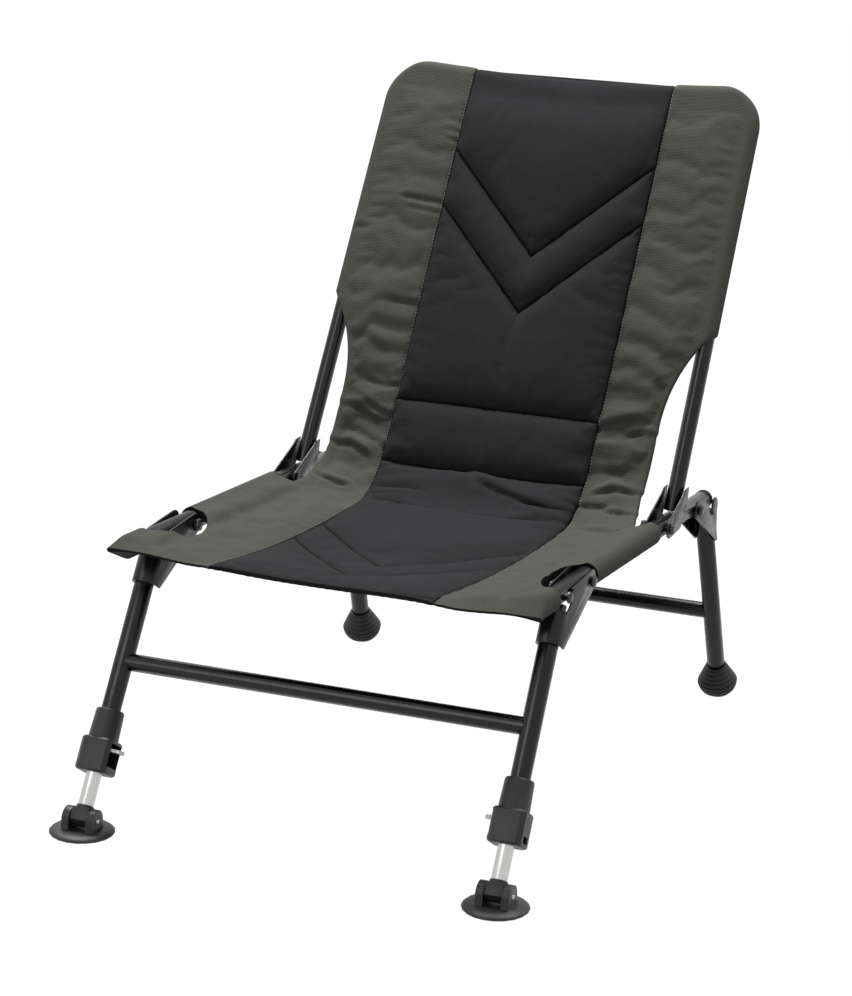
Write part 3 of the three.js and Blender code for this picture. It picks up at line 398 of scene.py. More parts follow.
def lerp(a, b, t):
    """From a to b as t goes from 0 to 1."""
    return a + (b - a) * t


def smooth(x, low, high):
    """From 0 to 1 as x goes from low to high."""
    t = np.clip((x - low) / (high - low), 0, 1)
    return t * t * (3 - 2 * t)


def hump(off, width):
    """1 in its middle, and next to nothing two widths off."""
    return np.exp(-((off / width) ** 2))


# %% [markdown]
# ## Where the cloth lies
# Three bodies carry the cloth: the rails, the free bend behind the sitter, and the side tubes.
# Each point of a row is a place along the sheet, a place across it and a height above it.

# %% The base of each row
rail_dir = np.array([0, math.cos(RAIL_FALL), -math.sin(RAIL_FALL)])
rail_up = np.array([0, math.sin(RAIL_FALL), math.cos(RAIL_FALL)])
back_dir = np.array([0, math.sin(BACK_LEAN), math.cos(BACK_LEAN)])
back_up = np.array([0, -math.cos(BACK_LEAN), math.sin(BACK_LEAN)])
pivot = np.array(hinge) * 1000
back_base = pivot + rail_dir * BACK_BASE
bend_end = back_base + back_dir * BACK_LOW + back_up * FRONT_FACE


def seat_sag(a):
    """How far the middle of the seat hangs under the rails' axes."""
    share = np.clip((a - SEAT_FRONT) / (SEAT_REAR - SEAT_FRONT), 0, 1)
    return lerp(SAG_FRONT, SAG_REAR, share) + SAG_MIDDLE * 4 * share * (1 - share)


def seat_face(x, a):
    """Height of the seat cloth over the rail's axis."""
    share = np.minimum(1, np.abs(x) / RAIL_X)
    return RAIL_ROLL - (RAIL_ROLL + seat_sag(a)) * (1 - share**SAG_FLATNESS)


def back_half(s):
    """Half the width of the back cover at a height up the side tubes."""
    full = RAIL_X - TOE_IN * np.minimum(s, SHOULDER) / SHOULDER + TUBE_ROLL
    if s > SHOULDER:
        share = min(1, (s - SHOULDER) / (BACK_TOP - SHOULDER))
        return BAR_HALF + (full - BAR_HALF) * math.sqrt(1 - share * share)
    widened = np.clip((s - WAIST_START) / (POCKET_LOW - WAIST_START), 0, 1) ** WAIST_FLARE
    return lerp(WAIST_HALF, full, widened)


def bar_dip(x):
    """How far the middle of the top bar hangs below its ends."""
    return BAR_DIP * (1 - np.minimum(1, np.abs(x) / BAR_HALF) ** 2)


def bend_curve(x, t):
    """Points and upward directions of the cloth in the bend between seat and backrest."""
    start = pivot + rail_dir * SEAT_REAR + np.outer(seat_face(x, SEAT_REAR), rail_up)
    reach = (bend_end[2] - start[:, 2:]) / back_dir[2] * BEND_CORNER
    corner = bend_end - back_dir * reach
    corner[:, 2] = start[:, 2] - (corner[:, 1] - start[:, 1]) * math.tan(RAIL_FALL)
    # a curve from start to end that leaves both towards the corner
    point = start * (1 - t) ** 2 + 2 * corner * t * (1 - t) + bend_end * t * t
    tangent = 2 * (corner - start) * (1 - t) + 2 * (bend_end - corner) * t
    tangent /= np.linalg.norm(tangent, axis=1, keepdims=True)
    return point, np.stack([0 * x, -tangent[:, 2], tangent[:, 1]], -1)


# %% [markdown]
# ## One row of cloth
# The upper layer spans from tube to tube, and the lower layer lies a little below it. At the
# sides both turn round the tube. In the bend there is no tube, only a thin hem. At the front hem
# the sleeves are sewn shut and go flat. A row is worked out for one half and mirrored.

# %% Sections of the cloth
FLAT_FROM, FLAT_TO, HEM_THINNING = SEAM - 40, SEAM + 30, 0.6
DIP_FROM, DIP_FULL = 420, 534
LEAST_ROUND, TOP_FOLD = 0.02, 1.8


def section(columns, half, roll, roll_height, face, depth):
    """Places across one half row, with the heights of its upper and lower layer."""
    pad_x, panel_shares, turns = columns
    centre = half - roll
    x = np.concatenate([pad_x, SEAM + panel_shares * (centre - SEAM)])
    top = face(x)
    low = top - depth(x)
    taper = np.clip(1 - (centre - x) / SLEEVE_TAPER, 0, 1) ** 2
    low = lerp(low, np.minimum(low, roll_height - roll), taper)
    rise = roll * np.sin(turns)
    across = np.concatenate([x, centre + roll * np.cos(turns)])
    return across, np.concatenate([top, roll_height + rise]), np.concatenate([low, roll_height - rise])


def cloth_depth(x):
    """Distance between the two layers, more at the padding."""
    return np.where(np.abs(x) < SEAM, PAD_DEPTH, CLOTH_DEPTH)


def mirrored(half, sign=1):
    """A whole row from its right half."""
    return np.concatenate([sign * half[:0:-1], half])


def layers(x, top, low, place):
    """The upper and lower points of a whole row."""
    across = np.outer(mirrored(x, -1), (1, 0, 0))
    point, up = place(mirrored(np.abs(x)))
    return across + point + up * mirrored(top)[:, None], across + point + up * mirrored(low)[:, None]


def seat_row(mid, side, columns):
    """A row between the rails, with sleeves round them."""

    def along(x):
        return lerp(mid, side, np.minimum(1, x / SEAM))

    def face(x):
        hem = HEM - HEM_DROP * (1 - smooth(x, SEAM, RAIL_X))
        return lerp(seat_face(x, along(x)), hem, smooth(x, FLAT_FROM, FLAT_TO) * flat)

    def depth(x):
        return cloth_depth(x) * (1 - HEM_THINNING * flat)

    flat = float(np.clip((SEAT_FRONT + SLEEVE_END - side) / SLEEVE_END, 0, 1))
    roll = lerp(RAIL_ROLL, HEM, flat)
    x, top, low = section(columns, RAIL_X + RAIL_ROLL, roll, 0, face, depth)
    upper, lower = layers(x, top, low, lambda x: (pivot + np.outer(along(x), rail_dir), rail_up))
    return upper, lower, mirrored(along(x)), mirrored(x, -1)


def bend_row(t, columns):
    """A row of the free bend, hemmed at its sides."""
    narrowed = min(1, t / WAIST_REACHED) ** WAIST_EASE
    half = lerp(RAIL_X - WAIST_INSET, WAIST_HALF, narrowed)
    x, top, low = section(columns, half, HEM, -HEM, lambda x: 0 * x, cloth_depth)
    upper, lower = layers(x, top, low, lambda x: bend_curve(np.minimum(x, WAIST_HALF), t))
    return upper, lower, np.full(len(x) * 2 - 1, SEAT_REAR + BEND * t), mirrored(x, -1)


def back_row(mid, side, columns):
    """A row of the back, hemmed below the pocket and turned round the hoop above it."""

    def up_tubes(x):
        share = np.minimum(1, x / SEAM)
        return lerp(mid, side, share) - bar_dip(x) * smooth(side, DIP_FROM, DIP_FULL)

    def depth(x):
        return lerp(cloth_depth(x), front + TUBE_ROLL * rounding, behind)

    closed = smooth(side, POCKET_LOW - TUBE_ROLL, POCKET_LOW)
    edge = min(1, max(0, BACK_TOP - side) / TUBE_ROLL)
    rounding = math.sqrt(max(LEAST_ROUND, 1 - (1 - edge) ** 2))
    roll = lerp(HEM, TUBE_ROLL * rounding, closed)
    front = min(FRONT_FACE, TUBE_ROLL * rounding)
    fold_start = BACK_TOP - TOP_FOLD * TUBE_ROLL - SLEEVE_TAPER
    behind = np.clip((side - fold_start) / SLEEVE_TAPER, 0, 1) ** 2
    height = lerp(FRONT_FACE - HEM, 0.0, closed)
    x, top, low = section(columns, back_half(side), roll, height, lambda x: 0 * x + front, depth)
    upper, lower = layers(x, top, low, lambda x: (back_base + np.outer(up_tubes(x), back_dir), back_up))
    places = mirrored(lerp(mid, side, np.minimum(1, x / SEAM))) + TO_BACK
    return upper, lower, places, mirrored(x, -1)


def lay_cloth(seat, bend, back, columns):
    """Upper points, lower points, places along and places across, for all rows of the sheet."""
    rows = [seat_row(mid, side, columns) for mid, side in seat]
    rows += [bend_row(t, columns) for t in bend]
    rows += [back_row(mid, side, columns) for mid, side in back]
    return [np.array(part) for part in zip(*rows)]


# %% [markdown]
# ## Sewn lines
# Every sewn line holds the padding down. The distance of a point from the nearest one tells how
# high the padding may swell there, and where the thread pulls the cloth together.

# %% Distance from the stitching
lumbar_low = SEAT_REAR + BEND * LUMBAR_SHARE
STITCHED = [*SEAT_LINES, (lumbar_low, lumbar_low)]
STITCHED += [(mid + TO_BACK, side + TO_BACK) for mid, side in BACK_LINES]


def from_stitching(x, q):
    """Distance from the nearest sewn line."""
    across = np.minimum(1, np.abs(x) / SEAM)
    near = np.abs(np.abs(x) - SEAM)
    for mid, side in STITCHED:
        slope = math.cos(math.atan2(side - mid, SEAM))
        line = np.abs(q - lerp(mid, side, across)) * slope
        near = np.where(np.abs(x) < SEAM, np.minimum(near, line), near)
    return near


def swelling(near, width):
    """1 far from the stitching, falling in a round to 0 on it."""
    return np.sqrt(1 - (1 - np.clip(near / width, 0, 1)) ** 2)


def outward(points):
    """Unit directions out of a grid of points."""
    along, across = np.gradient(points, axis=0), np.gradient(points, axis=1)
    normal = np.cross(across, along)
    return normal / np.maximum(np.linalg.norm(normal, axis=-1, keepdims=True), 1e-9)


print(len(STITCHED), "sewn lines across the padding, and two seams along it")

# %% [markdown]
# ## The cloth pulls and swells
# Thread draws cloth together, so it puckers along every seam. Such folds could be painted on as
# relief, but they would all look alike. So a coarse single layer is laid out, pinned along its
# sewn lines and on the tubes, and let loose in a cloth simulation. It has a little more cloth
# than room, most of it at the waist, and the padding presses it outwards.

# %% Lay out a coarse layer
CELL = 5.2  # side of a square of the coarse layer


def steps(low, high, size=CELL):
    """Even places from low to high, about one size apart."""
    return np.linspace(low, high, int(round((high - low) / size)) + 1)


coarse_columns = (steps(0, SEAM), steps(0, 1, CELL / PANEL)[1:], np.empty(0))
coarse = lay_cloth(
    [(a, a) for a in steps(SEAT_FRONT, SEAT_REAR)],
    steps(0, 1, CELL / BEND)[1:-1],
    [(s, s) for s in steps(BACK_LOW, BACK_TOP - TUBE_ROLL)],
    coarse_columns,
)


def vertex_places(mesh):
    """Where the vertices of a mesh lie."""
    flat = np.empty(len(mesh.vertices) * 3)
    mesh.vertices.foreach_get("co", flat)
    return flat.reshape(-1, 3)


def grid_mesh(name, points):
    """A grid primitive whose vertices are moved to the given rows of points."""
    count, around = points.shape[0] - 1, points.shape[1] - 1
    select_none()
    bpy.ops.mesh.primitive_grid_add(x_subdivisions=around, y_subdivisions=count, size=2)
    piece = bpy.context.object
    piece.name = name
    flat = vertex_places(piece.data)
    column = np.rint((flat[:, 0] + 1) / 2 * around).astype(int)
    row = np.rint((flat[:, 1] + 1) / 2 * count).astype(int)
    piece.data.vertices.foreach_set("co", (points[row, column] / 1000).ravel())
    piece.data.update()
    return piece, row, column


print("coarse layer of", coarse[0].shape[0], "rows of", coarse[0].shape[1], "points")

# %% [markdown]
# A flat sheet under even pressure would fold wherever rounding errors send it. So the side panels
# start with faint waves, largest at the waist. Weights of vertices tell the simulation where the
# thread and the tubes hold the cloth, where it has room to spare, and where padding presses it.

# %% Simulate the coarse layer
FREE_FRAMES = 16
MOST_SHIFT = 11.0
MOST_SPARE, LEAST_SPARE, WAIST_SPARE = 0.04, 0.006, 0.020  # shares of the cloth's own size
FOLD_SIZE, FOLD_HEIGHT, WAIST_FOLDS = 6.4, 0.06, 0.5
WAIST_PLACE, WAIST_LENGTH = TO_BACK + 90, 150
CALM_FROM, CALM_TO = 165, 195
TUBE_HOLD, EDGE_HOLD = 9, 4  # widths that a tube and a free hem hold


def weigh(piece, name, weights):
    """A vertex group with the weights, rounded so that few calls fill it."""
    group = piece.vertex_groups.new(name=name)
    rounded = np.round(weights, 2)
    for weight in np.unique(rounded):
        group.add(np.flatnonzero(rounded == weight).tolist(), float(weight), "REPLACE")


def near_waist(q):
    return hump(q - WAIST_PLACE, WAIST_LENGTH)


def started_waves(q, x):
    """Heights of the faint waves that the cloth starts from."""
    wave = np.sin(q / FOLD_SIZE + 1.4 * np.sin(q / 33) + 2 * np.sign(x) + x / 55)
    calm = 1 - smooth(np.abs(x), CALM_FROM, CALM_TO)
    return wave * np.where(np.abs(x) > SEAM, calm, 0.05) * (FOLD_HEIGHT + WAIST_FOLDS * near_waist(q))


def held(q, x, edge):
    """1 where thread, tube or hem holds the cloth, and 0 where it is free."""
    on_frame = (q < SEAT_REAR - 6) | (q > TO_BACK + POCKET_LOW)
    tube = (np.abs(x) > edge - TUBE_HOLD) & on_frame
    free_hem = np.abs(x) > edge - EDGE_HOLD
    top_bar = q > TO_BACK + BACK_TOP - 40
    pin = np.where((from_stitching(x, q) < CELL / 2) | tube | free_hem | top_bar, 1.0, 0.0)
    return np.where(q < SEAT_FRONT + 6, 0.7, pin)


def add_cloth(piece):
    """A cloth modifier that knows the weights, without gravity."""
    cloth = piece.modifiers.new("cloth", "CLOTH")
    settings = cloth.settings
    settings.quality = 5
    settings.mass = 0.1
    settings.tension_stiffness = settings.compression_stiffness = 20
    settings.shear_stiffness, settings.bending_stiffness = 5, 0.35
    settings.tension_damping = settings.compression_damping = 3
    settings.vertex_group_mass = "pin"
    settings.vertex_group_shrink = "tight"
    settings.shrink_min, settings.shrink_max = -MOST_SPARE, 0
    settings.use_pressure = True
    settings.uniform_pressure_force = 3.0
    settings.vertex_group_pressure = "padding"
    settings.effector_weights.gravity = 0
    cloth.collision_settings.use_collision = False
    cloth.point_cache.frame_end = FREE_FRAMES


def pulled_cloth(upper, q, x):
    """How far each point of the coarse layer moves when the sewn cloth settles."""
    started = upper + outward(upper) * started_waves(q, x)[..., None]
    piece, row, column = grid_mesh("loose_layer", started)
    x, q = x[row, column], q[row, column]
    spare = LEAST_SPARE + np.where(np.abs(x) > SEAM, WAIST_SPARE * near_waist(q), 0)
    weigh(piece, "pin", held(q, x, np.abs(upper[row, -1, 0])))
    weigh(piece, "tight", 1 - spare / MOST_SPARE)
    weigh(piece, "padding", np.where(np.abs(x) > SEAM, 0.25, 1.0))
    add_cloth(piece)
    for number in range(1, FREE_FRAMES + 1):
        bpy.context.scene.frame_set(number)
    settled = piece.evaluated_get(bpy.context.evaluated_depsgraph_get())
    now = vertex_places(settled.data)
    bpy.context.scene.frame_set(1)
    shift = np.zeros(upper.shape)
    shift[row, column] = now * 1000 - upper[row, column]
    bpy.data.objects.remove(piece)
    size = np.linalg.norm(shift, axis=2, keepdims=True)
    return shift * np.minimum(1, MOST_SHIFT / np.maximum(size, 1e-6))


coarse_upper, _, coarse_q, coarse_x = coarse
shift = pulled_cloth(coarse_upper, coarse_q, coarse_x)
furthest = float(np.linalg.norm(shift, axis=2).max())
print(coarse_q.size, "points simulated; the furthest moved", round(furthest, 1), "mm")

# %% [markdown]
# ## The sheet itself
# The simulation needs even squares, but a sharp groove needs rows that run along the sewn lines,
# closer together near them. So the finished sheet is laid out anew, from the same functions, and
# takes the settled shape of the coarse layer afterwards.

# %% Rows and columns of the finished sheet


def rows_between(stations, counts):
    """Rows of (middle, seam) places, closer together near the sewn lines."""
    rows, sewn_rows = [], [0]
    for (mid0, side0), (mid1, side1), count in zip(stations, stations[1:], counts):
        k = np.arange(count) / count
        shares = lerp(k, 0.5 - 0.5 * np.cos(math.pi * k), 0.5)
        rows += [(lerp(mid0, mid1, t), lerp(side0, side1, t)) for t in shares]
        sewn_rows.append(len(rows))
    return rows + [stations[-1]], sewn_rows


seat_rows, seat_sewn = rows_between(
    [(SEAT_FRONT, SEAT_FRONT), *SEAT_LINES, (SEAT_REAR, SEAT_REAR)], [6, 36, 26, 34]
)
back_rows, back_sewn = rows_between(
    [(BACK_LOW, BACK_LOW), *BACK_LINES, (BACK_TOP, BACK_TOP)], [12, 100, 28, 46]
)
bend_low = np.linspace(0, LUMBAR_SHARE, 38)[1:]
bend_high = np.linspace(LUMBAR_SHARE, 1, 15)[1:-1]
bend_rows = np.concatenate([bend_low, bend_high])
fine_columns = (
    np.concatenate([np.linspace(0, 115, 26), [119, 122.5, 125.3, 127.5, 129.2, 130.3]]),
    np.concatenate([[0, 0.007, 0.018, 0.035, 0.06, 0.09], np.linspace(0.13, 0.97, 20)]),
    np.radians(np.linspace(90, 6, 9)),
)
upper, lower, q, x = lay_cloth(seat_rows, bend_rows, back_rows, fine_columns)
print(upper.shape[0], "rows of", upper.shape[1], "points")

# %% [markdown]
# The shift of the coarse layer is read between its points with a smooth curve, first along the
# sheet and then across it. Both layers take it, the lower one of the padding only in part.

# %% Take up the settled shape


def share_across(columns):
    """Place across a row that doesn't depend on its width: 1 at the seam and 2 over the tube."""
    pad_x, panel_shares, turns = columns
    return mirrored(np.concatenate([pad_x / SEAM, 1 + panel_shares, 2 + 0 * turns]), -1)


def four_neighbours(count, place):
    """The whole places before broken ones, and weights of four neighbours on a smooth curve."""
    whole = np.clip(np.floor(place).astype(int), 0, count - 2)
    t = (place - whole)[..., None]
    weights = (
        ((2 - t) * t - 1) * t / 2,
        ((3 * t - 5) * t * t + 2) / 2,
        ((4 - 3 * t) * t + 1) * t / 2,
        (t - 1) * t * t / 2,
    )
    return whole, weights


def sampled(values, row_place, column_place):
    """Values of a grid at broken places between its points."""
    rows, row_weights = four_neighbours(values.shape[0], row_place)
    columns, column_weights = four_neighbours(values.shape[1], column_place)
    total = 0
    for i, by_row in enumerate(row_weights):
        row = np.clip(rows + i - 1, 0, values.shape[0] - 1)
        for j, by_column in enumerate(column_weights):
            column = np.clip(columns + j - 1, 0, values.shape[1] - 1)
            total = total + by_row * by_column * values[row, column]
    return total


PAD_FOLLOWS, PANEL_FOLLOWS = 0.5, 0.9  # how much of the shift the lower layer takes
coarse_share, share = share_across(coarse_columns), share_across(fine_columns)
row_place = np.interp(q, coarse_q[:, 0], np.arange(len(coarse_q)))
column_place = np.broadcast_to(np.interp(share, coarse_share, np.arange(len(coarse_share))), q.shape)
settled = sampled(shift, row_place, column_place)
front_end = np.clip((SEAT_FRONT + SLEEVE_END - q) / SLEEVE_END, 0, 1)
follows = lerp(np.where(np.abs(x) < SEAM, PAD_FOLLOWS, PANEL_FOLLOWS), 1, front_end)
upper = upper + settled
lower = lower + settled * follows[..., None]
print("settled shape taken up by", upper[..., 0].size, "points of each layer")

# %% [markdown]
# The padding swells in a round on both sides of a sewn line, the thread bites a narrow groove
# into it, and the olive cloth overlaps the charcoal at the seams by its own thickness. Beside
# each rail the cloth sinks to the seam of the sleeve. The lower layer sinks with it, because the
# openings are cut later and need two layers that never cross.

# %% Grooves and laps
GROOVE, GROOVE_WIDTH, LAP = 1.3, 1.5, 0.5  # LAP is the thickness of the olive cloth
BACK_LIFT, SEAT_LIFT, PAD_ROUND = 9.0, 3.8, 24.0
PANEL_LIFT, PANEL_ROUND = 1.2, 10.0
PAD_GROWS, LIFT_FADES = (-60, 20), (200, 235)  # places along the sheet and across it
TOP_FLATTENS, TOP_KEEPS = 80, 0.05  # the pad goes flat where it turns over the top bar
SLEEVE_SINK, SLEEVE_SEAM, SINK_WIDTH = 5.5, 201.0, 8

near = from_stitching(x, q)
sewn = hump(near, GROOVE_WIDTH)
top_edge = TO_BACK + BACK_TOP
pad_lift = lerp(SEAT_LIFT, BACK_LIFT, smooth(q, *PAD_GROWS)) * swelling(near, PAD_ROUND)
pad_lift = pad_lift * (1 - (1 - TOP_KEEPS) * smooth(q, top_edge - TOP_FLATTENS, top_edge - 8))
lift = np.where(np.abs(x) < SEAM, pad_lift, PANEL_LIFT * swelling(near, PANEL_ROUND))
lift = lift * (1 - smooth(np.abs(x), *LIFT_FADES)) + LAP * (np.abs(share) > 1)
lift = lift - GROOVE * sewn * (1 - front_end)
on_seat = (1 - smooth(q, SEAT_REAR - 30, SEAT_REAR)) * smooth(q, SEAT_FRONT, SEAT_FRONT + 40)
sink = SLEEVE_SINK * on_seat * hump(np.abs(x) - SLEEVE_SEAM, SINK_WIDTH)
lower_sink = sink * (1 - smooth(np.abs(x), SLEEVE_SEAM + 4, SLEEVE_SEAM + 24))
lower = lower - outward(upper) * lower_sink[..., None]
upper = upper + outward(upper) * (lift - sink)[..., None]
print("puffed and sewn: lifted by up to", round(float(lift.max()), 1), "mm")

# %% [markdown]
# The simulation puckers the cloth everywhere, but the photograph shows single deep creases at the
# waist and at the bend. Sculpting them by hand would work too. Here each is a line across the
# sheet, and the cloth above it hangs over it in a soft bulge. The places were read off the
# photograph: across the sheet, along it, then the depth and the width of the crease.

# %% Creases
CREASES = [
    # left panel of the back, from its outer edge to short puckers at the seam
    ([-247, -218], [345, 350], 1.2, 4.0),
    ([-190, -131], [392, 388], 1.4, 3.6),
    ([-180, -131], [379, 374], 1.2, 3.6),
    ([-152, -131], [503, 501], 1.0, 3.0),
    ([-155, -131], [489, 486], 1.0, 3.0),
    ([-150, -131], [476, 473], 1.0, 3.0),
    ([-178, -131], [254, 252], 1.8, 4.0),
    # left side of the waist, down to the bend
    ([-215, -192, -154], [202, 203, 184], 2.0, 6.0),
    ([-179, -150, -131], [151, 140, 147], 1.6, 4.0),
    ([-212, -176, -142], [114, 112, 93], 3.2, 3.4),
    ([-174, -149, -131], [122, 110, 106], 2.6, 3.2),
    ([-189, -164, -131], [89, 82, 72], 2.6, 3.4),
    ([-214, -174, -143], [64, 68, 57], 3.9, 3.6),
    ([-216, -191, -172, -152], [11, 3, 1, 6], 3.6, 3.4),
    # right side of the waist, down to the seat
    ([131, 157, 186], [122, 133, 142], 2.8, 4.2),
    ([161, 183, 212], [114, 123, 120], 2.8, 3.4),
    ([131, 180], [75, 77], 2.2, 4.2),
    ([138, 167, 189, 214], [46, 54, 50, 41], 4.0, 3.6),
    ([162, 187, 216], [20, 15, 0], 3.6, 3.4),
    ([148, 183, 215], [-24, -34, -48], 2.4, 5.0),
    ([131, 169], [31, 29], 1.8, 3.6),
    ([160, 182, 212], [189, 189, 180], 1.5, 6.0),
    # the pad at the bend
    ([-128, -58, -18], [33, 38, 42], 1.6, 3.6),
    ([-26, 0, 30, 62, 108], [58, 42, 30, 19, 11], 3.2, 3.8),
    ([80, 131], [33, 29], 1.4, 3.6),
]
FREE_EDGE, EDGE_FADE, EDGE_KEEPS = 203.0, 22, 0.3  # the hem of the waist stays nearly straight
BULGE, BULGE_ABOVE, BULGE_WIDTH = 0.9, 1.9, 1.6  # of the crease's depth and width
END_FADE = 0.2  # part of the length in which a crease runs out, unless it ends at a seam


def crease(ends, heights, depth, width):
    """Height of one fold: a valley on its line, and a bulge of the cloth above it."""
    slope = math.cos(math.atan2(heights[-1] - heights[0], ends[-1] - ends[0]))
    off = (q - np.interp(x, ends, heights)) * slope
    shape = BULGE * hump(off - BULGE_ABOVE * width, BULGE_WIDTH * width) - hump(off, width)
    for end, inward in ((ends[0], 1), (ends[-1], -1)):
        inside = inward * (x - end)
        if abs(abs(end) - SEAM) < 1:
            shape = shape * (inside >= 0)
        else:
            shape = shape * smooth(inside, 0, END_FADE * (ends[-1] - ends[0]))
    return depth * shape


folds = sum(crease(*line) for line in CREASES)
loose = (q > SEAT_REAR) & (q < TO_BACK + POCKET_LOW)
near_edge = smooth(np.abs(x), FREE_EDGE - EDGE_FADE, FREE_EDGE)
folds = folds * np.where(loose, lerp(1, EDGE_KEEPS, near_edge), 1)
upper = upper + outward(upper) * folds[..., None]
lower = lower + outward(upper) * np.where(np.abs(x) > SEAM, folds, 0)[..., None]
print(len(CREASES), "creases, the deepest", round(float(-folds.min()), 1), "mm")

# %% [markdown]
# The closed end of the right sleeve hangs lower than the left one in the photograph.

# %% Lower the right sleeve end
DROP_FROM, DROP_FULL = 60, 200
drop = RIGHT_DROP * front_end * smooth(x, DROP_FROM, DROP_FULL)
upper, lower = upper - drop[..., None] * rail_up, lower - drop[..., None] * rail_up
print("right sleeve end lowered by", round(float(drop.max()), 1), "mm")

# %% [markdown]
# ## Cloth materials
# The middle is a dense charcoal cloth and the sides are a ribbed olive one. Both have the uneven
# tone of dyed yarn, and painted shade darkens them along the sewn lines, where the grooves lie in
# shadow. The ribs read the flat pattern and not the object, so that they follow the cloth round its folds.

# %% Cloth materials
MATT, GLEAM = 0.9, 0.05
# The second value is painted shade: how much darker the cloth is drawn along the sewn lines, where their
# grooves would lie in shadow.
YARN, PAINTED_GROOVE_SHADE = 1.1, 0.6  # how much the yarn and the sewn lines change the tone


def woven(name, colour, rib, contrast, bumpiness):
    """Cloth with ribs across it, a rib being the distance from one to the next in metres."""
    material, shader = start_material(name, colour, MATT, Specular_IOR_Level=GLEAM)
    where = object_place(material)
    flat = add_node(material, "ShaderNodeUVMap", uv_map="cloth").outputs["UV"]
    wave = add_node(material, "ShaderNodeTexWave", Scale=math.pi / 10 / rib, Distortion=0.8, Detail=2.0)
    wave.bands_direction = "Y"
    link(material, flat, wave.inputs["Vector"])
    ribs = wave.outputs["Fac"]
    yarn = noise(material, where, 1100, detail=3)
    tone = noise(material, where, 70, detail=6, roughness=0.65)
    # Painted shade: the cloth is drawn darker along the sewn lines, as if their grooves lay in shadow.
    painted_groove_shade = add_node(material, "ShaderNodeAttribute", attribute_name="sewn").outputs["Fac"]
    for part, amount in ((yarn, YARN), (ribs, contrast), (painted_groove_shade, -PAINTED_GROOVE_SHADE)):
        tone = maths(material, "ADD", tone, maths(material, "MULTIPLY", part, amount))
    vary(material, shader, "Base Color", tone, colour, (0.35, 0.3), (0.72, 0.78), (1.0, 1.25))
    fuzz = maths(material, "ADD", yarn, noise(material, where, 150, detail=4))
    rib_relief = bump(material, shader, ribs, bumpiness, 0.0003)
    bump(material, shader, fuzz, 0.3, 0.0008, below=rib_relief)
    return material


cloths = [
    woven("charcoal_cloth", (0.0178, 0.0178, 0.0191), 0.0011, 0.06, 0.2),
    woven("olive_cloth", (0.0524, 0.0534, 0.0438), 0.0019, 0.2, 0.45),
    woven("black_lining", (0.011, 0.011, 0.012), 0.0011, 0.05, 0.15),
    woven("black_binding", (0.008, 0.008, 0.009), 0.0011, 0.1, 0.3),
]
print(len(cloths), "cloths")

# %% [markdown]
# ## Making the mesh
# A grid primitive has one vertex for each point. Its vertices move to their places round both
# layers, the two side edges are welded into a loop, and the front and the top are capped. A UV
# map holds the places across and along the cloth, so that the weave follows it, and an attribute
# marks the sewn lines, along which the cloth material paints shade.

# %% Make the cover
points = np.concatenate([upper, lower[:, ::-1]], axis=1)
points = np.concatenate([points, points[:, :1]], axis=1)


def looped(values):
    """Values of one layer, for both layers and the closing column."""
    both = np.concatenate([values, values[:, ::-1]], axis=1)
    return np.concatenate([both, both[:, :1]], axis=1)


ROUND_TUBE = 0.9  # of the seam's width, for each share that a point lies round a tube
cover, row, column = grid_mesh("cover", points)
shares = np.broadcast_to(share, x.shape)
across_map = looped(np.sign(x) * np.maximum(np.abs(x), np.abs(shares) * SEAM * ROUND_TUBE))
along_map = looped(q)
uv = cover.data.uv_layers[0]
uv.name = "cloth"
corner_vertex = np.empty(len(cover.data.loops), int)
cover.data.loops.foreach_get("vertex_index", corner_vertex)
flat_map = np.stack([across_map[row, column], along_map[row, column]], -1) / 1000
uv.data.foreach_set("uv", flat_map[corner_vertex].ravel())
# The sewn lines as an attribute: the mask by which the cloth materials paint shade into the grooves.
painted_shade_mask = cover.data.attributes.new("sewn", "FLOAT", "POINT")
painted_shade_mask.data.foreach_set("value", looped(sewn)[row, column].astype(np.float32))
print("grid of", points.shape[0], "by", points.shape[1], "points laid round both layers")

# %% [markdown]
# Faces take their cloth from their place in the grid: the middle of the upper layer is charcoal,
# its sides and the sleeves round the tubes are olive, and the rest of the lower layer is lining.

# %% Cloth of each face
CHARCOAL, OLIVE, LINING, BINDING = range(4)
SLEEVE_SHARE, HEM_SHARE = 2 - SLEEVE_TAPER / PANEL, 1.94  # where the olive starts underneath
face_row = np.empty(len(cover.data.polygons), int)
face_column = np.empty(len(cover.data.polygons), int)
for polygon in cover.data.polygons:
    corners = list(polygon.vertices)
    face_row[polygon.index] = row[corners].min()
    face_column[polygon.index] = column[corners].min()
loop_share = looped(shares)[0]
face_share = np.abs(loop_share[face_column] + loop_share[face_column + 1]) / 2
below = face_column >= upper.shape[1] - 1
face_q = looped(q)[face_row, face_column]
sleeved = (face_q < SEAT_REAR) | (face_q > TO_BACK + POCKET_LOW)
chosen = np.where(face_share < 1, CHARCOAL, OLIVE)
chosen = np.where(below & (face_share < np.where(sleeved, SLEEVE_SHARE, HEM_SHARE)), LINING, chosen)
for material in cloths:
    cover.data.materials.append(material)
cover.data.polygons.foreach_set("material_index", chosen.astype(np.int32))
print(int((chosen == LINING).sum()), "of", len(chosen), "faces are lining")

# %% [markdown]
# Welding joins the first column of the grid to the last, and filling the two open ends makes the
# cover a closed form, which the cuts need. The caps are the only faces with many corners.

# %% Weld and cap
WELDED = 1e-6
weld(cover, WELDED)
bpy.ops.mesh.select_all(action="DESELECT")
bpy.ops.mesh.select_non_manifold()
bpy.ops.mesh.fill_holes(sides=0)
bpy.ops.mesh.select_all(action="SELECT")
bpy.ops.mesh.normals_make_consistent(inside=False)
bpy.ops.object.mode_set(mode="OBJECT")
for polygon in cover.data.polygons:
    if len(polygon.vertices) > 4:
        polygon.material_index = LINING
print(len(cover.data.vertices), "vertices in the cover")

